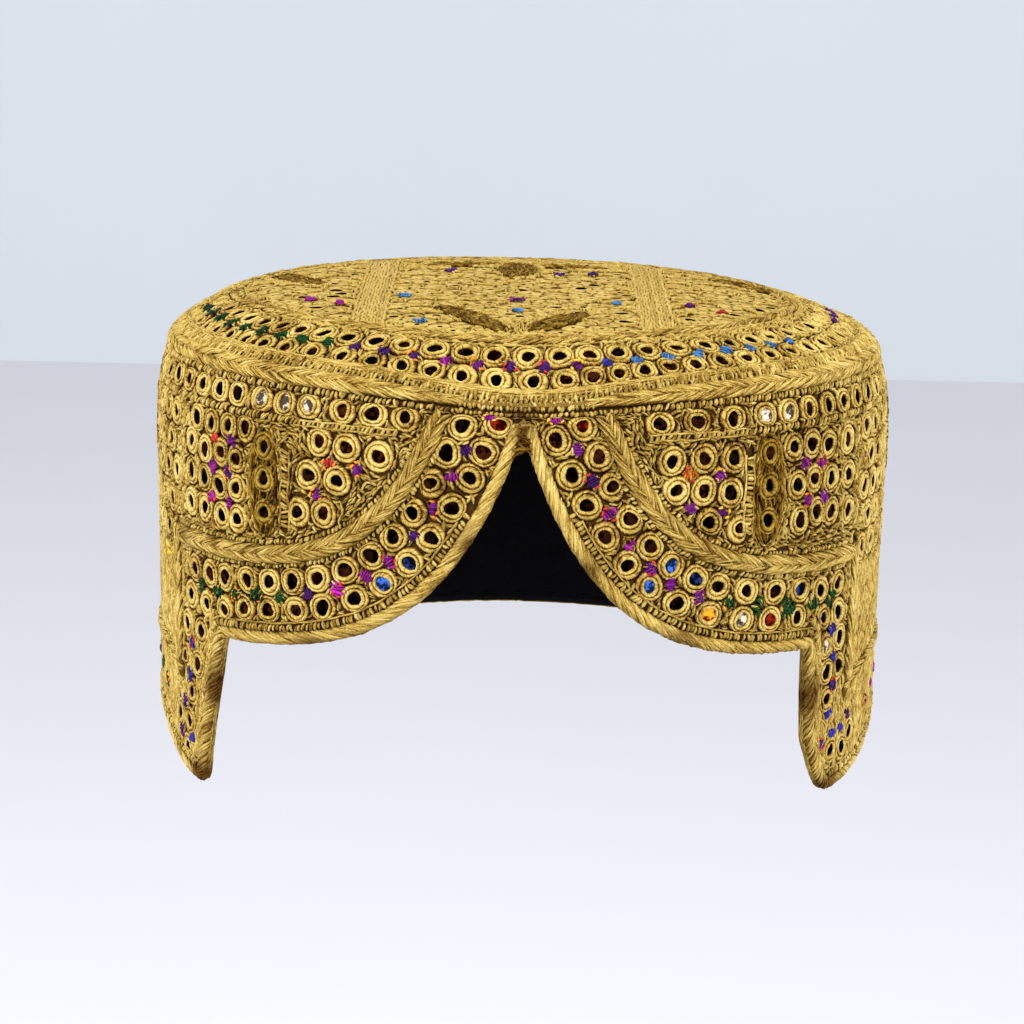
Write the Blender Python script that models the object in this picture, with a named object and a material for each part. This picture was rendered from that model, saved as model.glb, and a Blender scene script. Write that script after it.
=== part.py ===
"""Sindhi cap, an embroidered and mirrored cap of stiff cotton cloth.

A round, slightly domed crown sits on a deep upright wall. The wall is cut away over the
forehead in two scallops that meet in a narrow notch, and ends in a pointed flap beside
each temple. Both are lined, and raised braids and leaf patches lie on the outside.

Metres, +Z up. The wearer faces -Y, and +X is on the right in a view from the front.
The origin is the middle of the crown lining's underside, where the head carries the cap.
"""
import math

import bmesh
import bpy
import numpy as np

MM = 0.001

# Crown and wall, measured on the outside from the seam between them
SEAM_RADIUS = 88.4 * MM
DEPTH_OVER_WIDTH = 1.03
CROWN_RIM_RISE = 9.4 * MM
CROWN_RIM_POWER = 8.0
CROWN_LEFT_FULLNESS = 1.8
CROWN_DOME_RISE = 0.6 * MM
SHOULDER_SPREAD = 5.8 * MM
SHOULDER_DROP = 6.0 * MM
WALL_TAPER = 1.5 * MM
WALL_TAPER_DEPTH = 75 * MM
WALL_RADIUS = SEAM_RADIUS + SHOULDER_SPREAD

# The seam sags over the forehead, where the notch weakens the wall
SAG = 4.8 * MM
SAG_ANGLE = 18.5
SAG_REACH_ON_CROWN = 17 * MM
SAG_REACH_ON_WALL = 9 * MM

# Cloth
CLOTH = 1.2 * MM
LINING = 1.0 * MM
GAP = 0.3 * MM
LINING_GAP = 0.5 * MM
LINING_TOP = CLOTH + LINING_GAP
LINING_UNDERSIDE = LINING_TOP + LINING
LINING_INSET = 2.0 * MM
CROWN_SEAM_GAP = 0.6 * MM

# Heights are measured from the seam and the origin is the crown lining's underside
SEAM_HEIGHT = LINING_UNDERSIDE - CROWN_RIM_RISE - CROWN_DOME_RISE

# Lower edge: depth below the seam against the angle from the front, in degrees
NOTCH_TOP = 8.8 * MM
SCALLOP_DEPTH = 69.2 * MM
SCALLOP_TURN = {"left": 11.8, "right": 11.5}
SCALLOP_EASING = 3
BACK_DEPTH = 94 * MM
SCALLOP_ANGLES = (0.6, 1.3, 2.3, 3.6, 5.4, 7.8, 10.8, 14.5, 19, 24, 29, 34, 39, 44)
COLUMN_STEP = 6.0
LONGEST_MITRE = 1.35
# Flap outlines from the scallop's corner, columns: angle, depth in mm
LEFT_FLAP = (
    (51.8, 69.8),
    (53.7, 82.0),
    (55.9, 94.5),
    (57.2, 103.5),
    (57.5, 107.2),
    (58.3, 109.4),
    (59.8, 109.4),
    (64.3, 107.8),
    (69.2, 104.8),
    (74.5, 100.6),
    (81.0, 96.9),
    (89.5, 95.2),
)
RIGHT_FLAP = (
    (50.0, 68.8),
    (50.2, 81.0),
    (50.8, 93.0),
    (53.4, 101.2),
    (55.2, 105.4),
    (56.8, 107.6),
    (58.8, 107.6),
    (63.2, 106.9),
    (69.0, 104.9),
    (76.0, 101.0),
    (83.0, 97.4),
    (90.5, 95.4),
)

# Raised trims: width of the band and its height above the cloth
BINDING_WIDTH = 2.4 * MM
BINDING_HEIGHT = 0.9 * MM
BINDING_SECTION = (
    (0.0, -CLOTH),
    (0.0, 0.2 * BINDING_HEIGHT),
    (0.35, BINDING_HEIGHT),
    (0.8, 0.8 * BINDING_HEIGHT),
    (1.0, 0.1 * BINDING_HEIGHT),
    (1.0, -CLOTH),
)
BRAID_LIFT = GAP
CROWN_OUTER_BRAID = {"radius": 86.9 * MM, "width": 1.6 * MM, "height": 0.6 * MM}
CROWN_INNER_BRAID = {"radius": 71.8 * MM, "width": 3.2 * MM, "height": 0.5 * MM}
# The inner braid was sewn a little to the left and out of round
INNER_BRAID_SHIFT = 3.0 * MM
INNER_BRAID_FLATS = 2.4 * MM
WALL_TOP_BRAID = {"top": 0.6 * MM, "bottom": 3.9 * MM, "height": 1.2 * MM}
WALL_TOP_BRAID_FRONT = 2.4 * MM
PANEL_BRAID = {
    "start": 12.5,
    "depth": 47.8 * MM,
    "rise": 38.5 * MM,
    "turn": 9.5,
    "width": 4.2 * MM,
    "height": 1.5 * MM,
}
# Each side braid's angle, how far before it the panel braid ends, and where the back one starts
SIDE_BRAID_ANGLE = {"left": 65.7, "right": 62.6}
PANEL_BRAID_SHORT = 1.3
BACK_BRAID_LEAD = 0.9
SIDE_BRAID = {"top": 45.7 * MM, "bottom": 81 * MM, "width": 3.4 * MM, "height": 1.0 * MM}
BACK_BRAID = {
    "depth": 75.5 * MM,
    "drop": 8.5 * MM,
    "turn": 9.0,
    "width": 3.4 * MM,
    "height": 0.8 * MM,
}

# Leaf patches: tips as a share of the width, and height above the cloth
LEAF_TIP = 0.12
LEAF_HEIGHT = 0.6 * MM
# Columns: angle, depth of the middle, length and width in mm
WALL_LEAVES = (
    (-41.2, 28.4, 25.0, 9.5),
    (39.0, 27.0, 25.5, 9.5),
    (-86.0, 22.0, 25.0, 9.5),
    (86.0, 22.0, 25.0, 9.5),
    (-133.0, 28.0, 26.0, 9.5),
    (133.0, 28.0, 26.0, 9.5),
    (180.0, 28.0, 26.0, 9.5),
)
# Columns: foot to the right and back of the middle, tip to the right and back, width in mm
CROWN_LEAVES = {
    "crown_leaf_1": (-5.0, -67.5, -21.3, -35.5, 8.0),
    "crown_leaf_2": (1.2, -66.0, 15.0, -42.0, 8.0),
    "crown_leaf_3": (-66.5, 21.0, -53.5, -1.0, 8.0),
    "crown_leaf_4": (65.5, 11.0, 49.5, 28.5, 7.0),
    "crown_leaf_5": (-7.6, 46.5, -27.5, 40.5, 6.0),
    "crown_leaf_6": (4.6, 44.5, 22.5, 41.0, 6.0),
    "crown_bud": (-2.0, 49.0, -2.0, 20.5, 10.5),
}

# Mesh density
CROWN_COLUMNS = 54
CROWN_RINGS = (0.28, 0.55, 0.75, 0.86, 0.935, 1.0)
LINING_RINGS = (0.4, 0.75, 0.9, 1.0)
WALL_ROWS = (0.0, 0.022, 0.055, 0.105, 0.18, 0.4, 0.7, 1.0)
LINING_ROWS = (0.0, 0.04, 0.12, 0.5, 1.0)
RING_SEGMENTS = 60
PANEL_BRAID_SEGMENTS = 15
SIDE_BRAID_SEGMENTS = 5
BACK_BRAID_SEGMENTS = 33
LEAF_SEGMENTS = 6

# Edges between faces that turn more than this stay sharp, in degrees
SHARP_ANGLE = 40

# Band section: place across the band from -1 to 1, and share of its height
BAND_SECTION = ((-1.0, 0.0), (0.0, 0.0), (1.0, 0.0), (0.62, 0.85), (0.0, 1.0), (-0.62, 0.85))

MATERIALS = {
    "embroidered_cloth": {"color": (0.56, 0.42, 0.16), "roughness": 0.8},
    "gold_braid": {"color": (0.66, 0.50, 0.20), "roughness": 0.6},
    "aged_thread": {"color": (0.24, 0.14, 0.04), "roughness": 0.75},
    "black_lining": {"color": (0.012, 0.011, 0.013), "roughness": 0.9},
}


def clear_scene():
    for item in list(bpy.data.objects):
        bpy.data.objects.remove(item, do_unlink=True)


def make_material(slot):
    look = MATERIALS[slot]
    material = bpy.data.materials.new(slot)
    material.use_nodes = True
    shader = material.node_tree.nodes["Principled BSDF"]
    shader.inputs["Base Color"].default_value = (*look["color"], 1.0)
    shader.inputs["Roughness"].default_value = look["roughness"]
    shader.inputs["Metallic"].default_value = 0.0
    return material


# Surface of the cap

def sag(angle):
    """How far the seam drops at an angle in degrees from the front."""
    from_front = (np.asarray(angle) + 180) % 360 - 180
    return SAG * np.exp(-((from_front / SAG_ANGLE) ** 2))


def place(angle, radius, height):
    """World positions of points given by angle, radius and height above the seam."""
    turn = np.radians(angle)
    x = radius * np.sin(turn)
    y = -DEPTH_OVER_WIDTH * radius * np.cos(turn)
    return np.stack(np.broadcast_arrays(x, y, height + SEAM_HEIGHT), axis=-1)


def crown_point(angle, radius, out=0.0):
    """A point of the crown at a radius, moved out along the surface normal."""
    share = radius / SEAM_RADIUS
    power = CROWN_RIM_POWER - CROWN_LEFT_FULLNESS * np.sin(np.radians(angle))
    height = CROWN_RIM_RISE * (1 - share ** power) + CROWN_DOME_RISE * (1 - share ** 2)
    rim_slope = CROWN_RIM_RISE * power * share ** (power - 1)
    slope = -(rim_slope + 2 * CROWN_DOME_RISE * share) / SEAM_RADIUS
    length = np.hypot(1.0, slope)
    reach = np.clip((radius - SEAM_RADIUS + SAG_REACH_ON_CROWN) / SAG_REACH_ON_CROWN, 0, 1)
    lowered = height - sag(angle) * reach
    return place(angle, radius - out * slope / length, lowered + out / length)


def wall_point(angle, depth, out=0.0):
    """A point of the wall at a depth below the seam, moved out along the surface normal."""
    shoulder = np.exp(-depth / SHOULDER_DROP)
    share = depth / WALL_TAPER_DEPTH
    untapered = np.exp(-share ** 2)
    radius = SEAM_RADIUS + SHOULDER_SPREAD * (1 - shoulder) - WALL_TAPER * (1 - untapered)
    spread = SHOULDER_SPREAD * shoulder / SHOULDER_DROP
    slope = spread - 2 * WALL_TAPER * share * untapered / WALL_TAPER_DEPTH
    length = np.hypot(1.0, slope)
    reach = np.clip(1 - depth / SAG_REACH_ON_WALL, 0, 1)
    lowered = -depth - sag(angle) * reach
    return place(angle, radius + out / length, lowered + out * slope / length)


# Lower edge of the wall

def scallop_depth(angle, corner, turn):
    """Depth of a scallop at an angle, easing to the depth of its own outer corner."""
    corner_angle, corner_depth = corner
    depth = SCALLOP_DEPTH - (SCALLOP_DEPTH - NOTCH_TOP) * math.exp(-angle / turn)
    at_corner = SCALLOP_DEPTH - (SCALLOP_DEPTH - NOTCH_TOP) * math.exp(-corner_angle / turn)
    return depth + (corner_depth * MM - at_corner) * (angle / corner_angle) ** SCALLOP_EASING


def half_edge(side, flap):
    """Angle and depth of one side's edge, from the notch round to the back."""
    turn = SCALLOP_TURN[side]
    points = [(angle, scallop_depth(angle, flap[0], turn)) for angle in SCALLOP_ANGLES]
    return points + [(angle, depth * MM) for angle, depth in flap]


def lower_edge():
    """The whole closed edge as angle and depth columns, from the back round by the left."""
    left = [(-angle, depth) for angle, depth in reversed(half_edge("left", LEFT_FLAP))]
    right = half_edge("right", RIGHT_FLAP)
    corners = [(-180.0, BACK_DEPTH), *left, (0.0, NOTCH_TOP), *right, (180.0, BACK_DEPTH)]
    points = []
    for start, end in zip(corners, corners[1:]):
        count = max(1, math.ceil((end[0] - start[0]) / COLUMN_STEP))
        points += [np.array(start) + (np.array(end) - start) * step / count for step in range(count)]
    return np.array(points)


def inset_edge(edge, distance):
    """The edge moved up into the cloth by a distance, with mitred corners."""
    around = np.radians(edge[:, 0]) * WALL_RADIUS
    flat = np.stack([around, -edge[:, 1]], axis=1)
    turn = np.array([2 * math.pi * WALL_RADIUS, 0.0])
    after = np.vstack([flat[1:], flat[:1] + turn])
    before = np.vstack([flat[-1:] - turn, flat[:-1]])
    into = unit_normals(flat - before)
    out_of = unit_normals(after - flat)
    both = into + out_of
    closeness = 1 + np.sum(into * out_of, axis=1, keepdims=True)
    mitre = both / closeness
    size = np.linalg.norm(mitre, axis=1, keepdims=True)
    mitre = mitre * np.minimum(1, LONGEST_MITRE / size)
    moved = flat + mitre * distance
    return np.stack([np.degrees(moved[:, 0] / WALL_RADIUS), -moved[:, 1]], axis=1)


def unit_normals(steps):
    """Left-hand unit normals of steps in the plane."""
    normals = np.stack([-steps[:, 1], steps[:, 0]], axis=1)
    return normals / np.linalg.norm(normals, axis=1, keepdims=True)


# Meshes

def add_object(name, slot, vertices, faces):
    """One closed body with outward faces, as an object of its own."""
    mesh = bpy.data.meshes.new(name)
    mesh.from_pydata([tuple(map(float, point)) for point in vertices], [], faces)
    work = bmesh.new()
    work.from_mesh(mesh)
    bmesh.ops.recalc_face_normals(work, faces=work.faces)
    work.to_mesh(mesh)
    work.free()
    mesh.shade_smooth()
    mesh.set_sharp_from_angle(angle=math.radians(SHARP_ANGLE))
    mesh.materials.append(materials[slot])
    item = bpy.data.objects.new(name, mesh)
    bpy.context.collection.objects.link(item)
    return item


def loop_faces(rows, columns, closed_rows):
    """Quads of a grid whose columns close on themselves and, if asked, its rows too."""
    faces = []
    last = rows if closed_rows else rows - 1
    for row in range(last):
        below = ((row + 1) % rows) * columns
        here = row * columns
        for column in range(columns):
            beside = (column + 1) % columns
            faces.append((here + column, here + beside, below + beside, below + column))
    return faces


def wall_shell(name, slot, edge, rows, outer, inner):
    """A shell between two offsets, from the seam down to an edge."""
    layers = [wall_point(edge[:, 0], edge[:, 1] * row, outer) for row in rows]
    layers += [wall_point(edge[:, 0], edge[:, 1] * row, inner) for row in reversed(rows)]
    faces = loop_faces(len(layers), len(edge), closed_rows=True)
    return add_object(name, slot, np.concatenate(layers), faces)


def crown_shell(name, slot, rings, outer, inner):
    """A domed disc between two offsets, closed at its middle and its rim."""
    angles = np.arange(CROWN_COLUMNS) * 360 / CROWN_COLUMNS
    rim = SEAM_RADIUS - CROWN_SEAM_GAP
    layers = [crown_point(angles, rim * ring, outer) for ring in rings]
    layers += [crown_point(angles, rim * ring, inner) for ring in reversed(rings)]
    middle = [crown_point(0.0, 0.0, outer)[None], crown_point(0.0, 0.0, inner)[None]]
    faces = loop_faces(len(layers), CROWN_COLUMNS, closed_rows=False)
    top = len(layers) * CROWN_COLUMNS
    start_of_last = top - CROWN_COLUMNS
    for column in range(CROWN_COLUMNS):
        beside = (column + 1) % CROWN_COLUMNS
        faces.append((top, beside, column))
        faces.append((top + 1, start_of_last + column, start_of_last + beside))
    return add_object(name, slot, np.concatenate(layers + middle), faces)


def ring_band(name, slot, point, along, half_width, height):
    """A raised band all round the cap; along gives its line at each angle."""
    angles = np.arange(RING_SEGMENTS) * 360 / RING_SEGMENTS - 180
    layers = []
    for across, share in BAND_SECTION:
        line = along(angles) + across * half_width(angles)
        layers.append(point(angles, line, BRAID_LIFT + share * height))
    faces = loop_faces(len(layers), RING_SEGMENTS, closed_rows=True)
    return add_object(name, slot, np.concatenate(layers), faces)


def open_band(name, slot, point, line, widths, height):
    """A raised band with two ends, along a line of surface coordinates in metres.

    The first coordinate runs round the cap at the line's own radius, the second across it.
    """
    steps = np.gradient(line, axis=0)
    sideways = unit_normals(steps)
    layers = []
    for across, share in BAND_SECTION:
        spot = line + sideways * (across * widths)[:, None]
        layers.append(point(spot, BRAID_LIFT + share * height))
    count = len(line)
    faces = []
    sides = len(layers)
    for side in range(sides):
        here = side * count
        after = ((side + 1) % sides) * count
        for step in range(count - 1):
            faces.append((here + step, here + step + 1, after + step + 1, after + step))
    faces.append([side * count for side in range(sides)])
    faces.append([side * count + count - 1 for side in reversed(range(sides))])
    return add_object(name, slot, np.concatenate(layers), faces)


def on_wall(spot, out):
    return wall_point(np.degrees(spot[:, 0] / WALL_RADIUS), spot[:, 1], out)


def on_crown(spot, out):
    """Crown point from flat coordinates seen from above, x to the right and y to the back."""
    radius = np.hypot(spot[:, 0], spot[:, 1])
    angle = np.degrees(np.arctan2(spot[:, 0], -spot[:, 1]))
    return crown_point(angle, radius, out)


# Pieces

def build_cloth():
    edge = lower_edge()
    wall_edge = inset_edge(edge, BINDING_WIDTH + GAP)
    wall_shell("side_wall", "embroidered_cloth", wall_edge, WALL_ROWS, 0.0, -CLOTH)
    lining_edge = inset_edge(edge, LINING_INSET)
    wall_shell("wall_lining", "black_lining", lining_edge, LINING_ROWS, -LINING_TOP, -LINING_UNDERSIDE)
    crown_shell("crown_top", "embroidered_cloth", CROWN_RINGS, 0.0, -CLOTH)
    crown_shell("crown_lining", "black_lining", LINING_RINGS, -LINING_TOP, -LINING_UNDERSIDE)
    build_binding(edge)


def build_binding(edge):
    """Binding folded round the cloth's raw edge, flat inside and rounded outside."""
    layers = []
    for share, out in BINDING_SECTION:
        line = inset_edge(edge, share * BINDING_WIDTH)
        layers.append(wall_point(line[:, 0], line[:, 1], out))
    faces = loop_faces(len(layers), len(edge), closed_rows=True)
    add_object("edge_binding", "gold_braid", np.concatenate(layers), faces)


def inner_braid_radius(angles):
    turn = np.radians(angles)
    flats = INNER_BRAID_FLATS * np.sin(2 * turn) ** 2
    return CROWN_INNER_BRAID["radius"] - INNER_BRAID_SHIFT * np.sin(turn) - flats


def build_ring_braids():
    ring_band(
        "crown_outer_braid",
        "gold_braid",
        crown_point,
        lambda angles: np.full_like(angles, CROWN_OUTER_BRAID["radius"]),
        lambda angles: np.full_like(angles, CROWN_OUTER_BRAID["width"] / 2),
        CROWN_OUTER_BRAID["height"],
    )
    ring_band(
        "crown_inner_braid",
        "gold_braid",
        crown_point,
        inner_braid_radius,
        lambda angles: np.full_like(angles, CROWN_INNER_BRAID["width"] / 2),
        CROWN_INNER_BRAID["height"],
    )
    top = WALL_TOP_BRAID["top"]

    def bottom(angles):
        """The braid is squeezed where the seam sags over the notch."""
        narrowing = WALL_TOP_BRAID["bottom"] - WALL_TOP_BRAID_FRONT
        return WALL_TOP_BRAID["bottom"] - narrowing * sag(angles) / SAG

    ring_band(
        "wall_top_braid",
        "gold_braid",
        wall_point,
        lambda angles: (top + bottom(angles)) / 2,
        lambda angles: (bottom(angles) - top) / 2,
        WALL_TOP_BRAID["height"],
    )


def build_panel_braid(side, sign):
    size = PANEL_BRAID
    end = SIDE_BRAID_ANGLE[side] - PANEL_BRAID_SHORT
    angles = np.linspace(size["start"], end, PANEL_BRAID_SEGMENTS)
    depths = size["depth"] - size["rise"] * np.exp(-(angles - size["start"]) / size["turn"])
    line = np.stack([np.radians(sign * angles) * WALL_RADIUS, depths], axis=1)
    widths = np.full(len(line), size["width"] / 2)
    open_band("panel_braid_" + side, "gold_braid", on_wall, line, widths, size["height"])


def build_side_braid(side, sign):
    """Upright braid behind the flap, from the panel braid's end down to the back braid's."""
    size = SIDE_BRAID
    depths = np.linspace(size["top"], size["bottom"], SIDE_BRAID_SEGMENTS)
    around = np.full_like(depths, math.radians(sign * SIDE_BRAID_ANGLE[side]) * WALL_RADIUS)
    line = np.stack([around, depths], axis=1)
    widths = np.full(len(line), size["width"] / 2)
    open_band("side_braid_" + side, "gold_braid", on_wall, line, widths, size["height"])


def build_back_braid():
    """Braid over the border of the back, easing down to the flap at either end."""
    size = BACK_BRAID
    start = SIDE_BRAID_ANGLE["right"] - BACK_BRAID_LEAD
    end = 360 - SIDE_BRAID_ANGLE["left"] + BACK_BRAID_LEAD
    angles = np.linspace(start, end, BACK_BRAID_SEGMENTS)
    from_end = np.minimum(angles - start, end - angles)
    depths = size["depth"] + size["drop"] * np.exp(-from_end / size["turn"])
    line = np.stack([np.radians(angles) * WALL_RADIUS, depths], axis=1)
    widths = np.full(len(line), size["width"] / 2)
    open_band("back_braid", "gold_braid", on_wall, line, widths, size["height"])


def leaf_widths(width):
    """Half widths of a leaf along its length, blunt enough at its tips to stay a solid."""
    along = np.linspace(0, math.pi, LEAF_SEGMENTS)
    return width / 2 * (LEAF_TIP + (1 - LEAF_TIP) * np.sin(along))


def build_wall_leaves():
    """Upright leaf patches round the wall."""
    for number, (angle, depth_mm, length_mm, width_mm) in enumerate(WALL_LEAVES, start=1):
        depths = (depth_mm + np.linspace(-0.5, 0.5, LEAF_SEGMENTS) * length_mm) * MM
        around = np.full_like(depths, math.radians(angle) * WALL_RADIUS)
        line = np.stack([around, depths], axis=1)
        widths = leaf_widths(width_mm * MM)
        open_band("wall_leaf_%d" % number, "aged_thread", on_wall, line, widths, LEAF_HEIGHT)


def build_crown_leaves():
    """Leaves beside the inner braid and over the crown's back, and a bud between those."""
    along = np.linspace(0, 1, LEAF_SEGMENTS)[:, None]
    for name, (foot_x, foot_y, tip_x, tip_y, width_mm) in CROWN_LEAVES.items():
        foot = np.array([foot_x, foot_y]) * MM
        tip = np.array([tip_x, tip_y]) * MM
        line = foot + (tip - foot) * along
        open_band(name, "aged_thread", on_crown, line, leaf_widths(width_mm * MM), LEAF_HEIGHT)


clear_scene()
materials = {slot: make_material(slot) for slot in MATERIALS}
build_cloth()
build_ring_braids()
for side_name, side_sign in (("left", -1), ("right", 1)):
    build_panel_braid(side_name, side_sign)
    build_side_braid(side_name, side_sign)
build_back_braid()
build_wall_leaves()
build_crown_leaves()
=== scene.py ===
"""The looks of the Sindhi cap: mirrors in thread rings, braids, stitches, silk and lining.

Everything is laid out in millimetres on two flat charts and then laid on the cap by the same
surface functions as its solids.
Wall chart: around from the front (to the right is positive), up from the seam, out of the cloth.
Crown chart: right, back and out, with its distances from the middle as arc lengths.
"""
import math

import bpy
import numpy as np
from mathutils import Matrix, Vector


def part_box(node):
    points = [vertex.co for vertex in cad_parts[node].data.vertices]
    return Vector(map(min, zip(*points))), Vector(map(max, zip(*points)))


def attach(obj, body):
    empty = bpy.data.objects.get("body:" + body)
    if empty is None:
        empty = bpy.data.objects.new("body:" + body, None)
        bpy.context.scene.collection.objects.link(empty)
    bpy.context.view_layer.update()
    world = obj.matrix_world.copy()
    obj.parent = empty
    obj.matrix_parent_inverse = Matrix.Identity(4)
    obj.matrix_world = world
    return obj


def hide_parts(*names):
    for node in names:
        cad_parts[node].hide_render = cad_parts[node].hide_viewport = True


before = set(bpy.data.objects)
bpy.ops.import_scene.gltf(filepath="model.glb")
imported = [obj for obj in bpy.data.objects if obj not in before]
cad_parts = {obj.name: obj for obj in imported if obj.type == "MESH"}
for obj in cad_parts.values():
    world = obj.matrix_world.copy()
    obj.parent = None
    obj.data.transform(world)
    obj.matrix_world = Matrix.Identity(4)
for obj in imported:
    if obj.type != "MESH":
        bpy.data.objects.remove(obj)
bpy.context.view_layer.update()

MM = 0.001

# Surface of the cap, as in the solids
SEAM_RADIUS = 88.4
DEPTH_OVER_WIDTH = 1.03
CROWN_RIM_RISE = 9.4
CROWN_RIM_POWER = 8.0
CROWN_LEFT_FULLNESS = 1.8
CROWN_DOME_RISE = 0.6
SHOULDER_SPREAD = 5.8
SHOULDER_DROP = 6.0
WALL_TAPER = 1.5
WALL_TAPER_DEPTH = 75.0
WALL_RADIUS = SEAM_RADIUS + SHOULDER_SPREAD
HALF_ROUND = math.pi * WALL_RADIUS
SAG = 4.8
SAG_ANGLE = math.radians(18.5)
SAG_REACH_ON_CROWN = 17.0
SAG_REACH_ON_WALL = 9.0
SEAM_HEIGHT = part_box("crown_top")[1].z / MM - CROWN_RIM_RISE - CROWN_DOME_RISE

# Lower edge: depth below the seam against the angle from the front, in degrees
NOTCH_TOP = 8.8
SCALLOP_DEPTH = 69.2
SCALLOP_TURN = {-1: 11.8, 1: 11.5}
SCALLOP_EASING = 3
BACK_DEPTH = 94.0
SCALLOP_ANGLES = (0.6, 1.3, 2.3, 3.6, 5.4, 7.8, 10.8, 14.5, 19, 24, 29, 34, 39, 44)
# Flap outlines from the scallop's corner, columns: angle, depth
FLAPS = {
    -1: (
        (51.8, 69.8), (53.7, 82.0), (55.9, 94.5), (57.2, 103.5), (57.5, 107.2), (58.3, 109.4),
        (59.8, 109.4), (64.3, 107.8), (69.2, 104.8), (74.5, 100.6), (81.0, 96.9), (89.5, 95.2),
    ),
    1: (
        (50.0, 68.8), (50.2, 81.0), (50.8, 93.0), (53.4, 101.2), (55.2, 105.4), (56.8, 107.6),
        (58.8, 107.6), (63.2, 106.9), (69.0, 104.9), (76.0, 101.0), (83.0, 97.4), (90.5, 95.4),
    ),
}

# Bands on the wall
EDGE_BAND = {"width": 4.8, "narrower": 2.4}
EDGE_LADDER_INSET = 3.55
EDGE_CORD_INSET = 4.75
# Where the bands beside the notch are narrower: how far to its sides, how deep, how soft the end
NARROW_NOTCH = {"side": 30, "depth": 28, "easing": 3}
SHOULDER_BAND = {"depth": 2.6, "half": 3.0}
TOP_BRAID = (0.6, 3.9)
TOP_BRAID_FRONT = 2.4
TOP_BRAID_OPEN = 9.0
TOP_LADDER = (4.1, 5.5)
SECOND_LADDER = (11.6, 13.0)
SECOND_LADDER_START = 18.5
SECOND_LADDER_HALF = 0.8
SECOND_CORD_STARTS = (SECOND_LADDER_START, 90.0, 143.0)
SECOND_CORD_TURN = 17.0
PANEL_BRAID = {"start": 12.5, "end": {-1: 64.4, 1: 61.3}, "depth": 47.8, "rise": 38.5, "turn": 9.5}
PANEL_BRAID_TOP = 11.7
PANEL_BRAID_WIDTH = 4.4
SIDE_BRAID = {"angle": {-1: 65.7, 1: 62.6}, "top": 45.7, "bottom": 81.0}
BACK_BRAID = {"depth": 75.5, "drop": 8.5, "turn": 9.0, "overlap": 0.9}
SIDE_BRAID_WIDTH = 3.6
FLAP_BRAID_INSET = 3.6
FLAP_BRAID_RISE = 6.0
# Depth from which the binding's wraps stand steeper
FLAP_START = 72.0
FLAP_BRAID_WIDTH = 2.0
LADDER_PITCH = 1.2
PANEL_LADDER_WIDTH = 1.3
BRAID_GAP = 0.2
# Clearance of a spot beyond the lower edge
OFF_THE_CLOTH = -9.0
# How far the ring centres' copies and the binding's wraps run past the back seam
PAST_SEAM = 12.0

# Leaves, columns: angle, depth of the middle, length, width
WALL_LEAVES = (
    (-41.2, 28.4, 25.0, 9.5),
    (39.0, 27.0, 25.5, 9.5),
    (-86.0, 22.0, 25.0, 9.5),
    (86.0, 22.0, 25.0, 9.5),
    (-133.0, 28.0, 26.0, 9.5),
    (133.0, 28.0, 26.0, 9.5),
    (180.0, 28.0, 26.0, 9.5),
)

# Middle of the comb of stitches beside each leaf but the last, from the leaf's edge
COMB_ASIDE = {-1: 2.0, 1: 1.4}
COMB_WIDTH = 2.5
COMB_CORDS = (-1.35, 1.25)
COMBED_LEAVES = len(WALL_LEAVES) - 1

# Mirrors of the border: distance along the edge from the notch, for each side and row
BORDER_MIRRORS = {
    (-1, "outer"): (1.6, 9.6, 16.8, 26.1, 35.8, 45.2, 55.3, 65.5, 76.0, 85.2, 95.1, 103.9),
    (-1, "inner"): (5.3, 13.7, 22.6, 33.8, 43.7, 53.8, 64.7, 75.2, 84.4, 93.3, 102.1, 111.0),
    (1, "outer"): (5.8, 15.2, 23.8, 34.0, 44.2, 53.5, 63.6, 74.4, 85.6, 95.5, 105.5),
    (1, "inner"): (4.5, 13.7, 22.3, 34.0, 44.9, 55.0, 65.4, 74.4, 84.9, 96.2, 106.0),
}
BORDER_ROWS = {
    "outer": {"inset": 7.9, "closer": 2.6, "reach": 14.0},
    "inner": {"inset": 15.0, "closer": 2.8, "reach": 8.0},
}
# Border laid by rule behind the flaps: distances into the cloth, pitch, and first angles
BACK_BORDER_INSETS = (8.0, 15.0)
BACK_BORDER_PITCH = 8.4
BACK_BORDER_START = 66.0
BACK_SILK_START = 72.0
# Plain satin behind each flap: first and last angle, first depth
SIDE_SATIN = (64.0, 90.0, 52.5)

# Smooth upright stitches of the flaps: last angle, first depth
SMOOTH_FLAP = (90.0, 68.0)
# Pitch of the seed stitches
WALL_SEED_PITCH = 1.05
CROWN_SEED_PITCH = 1.1

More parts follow.
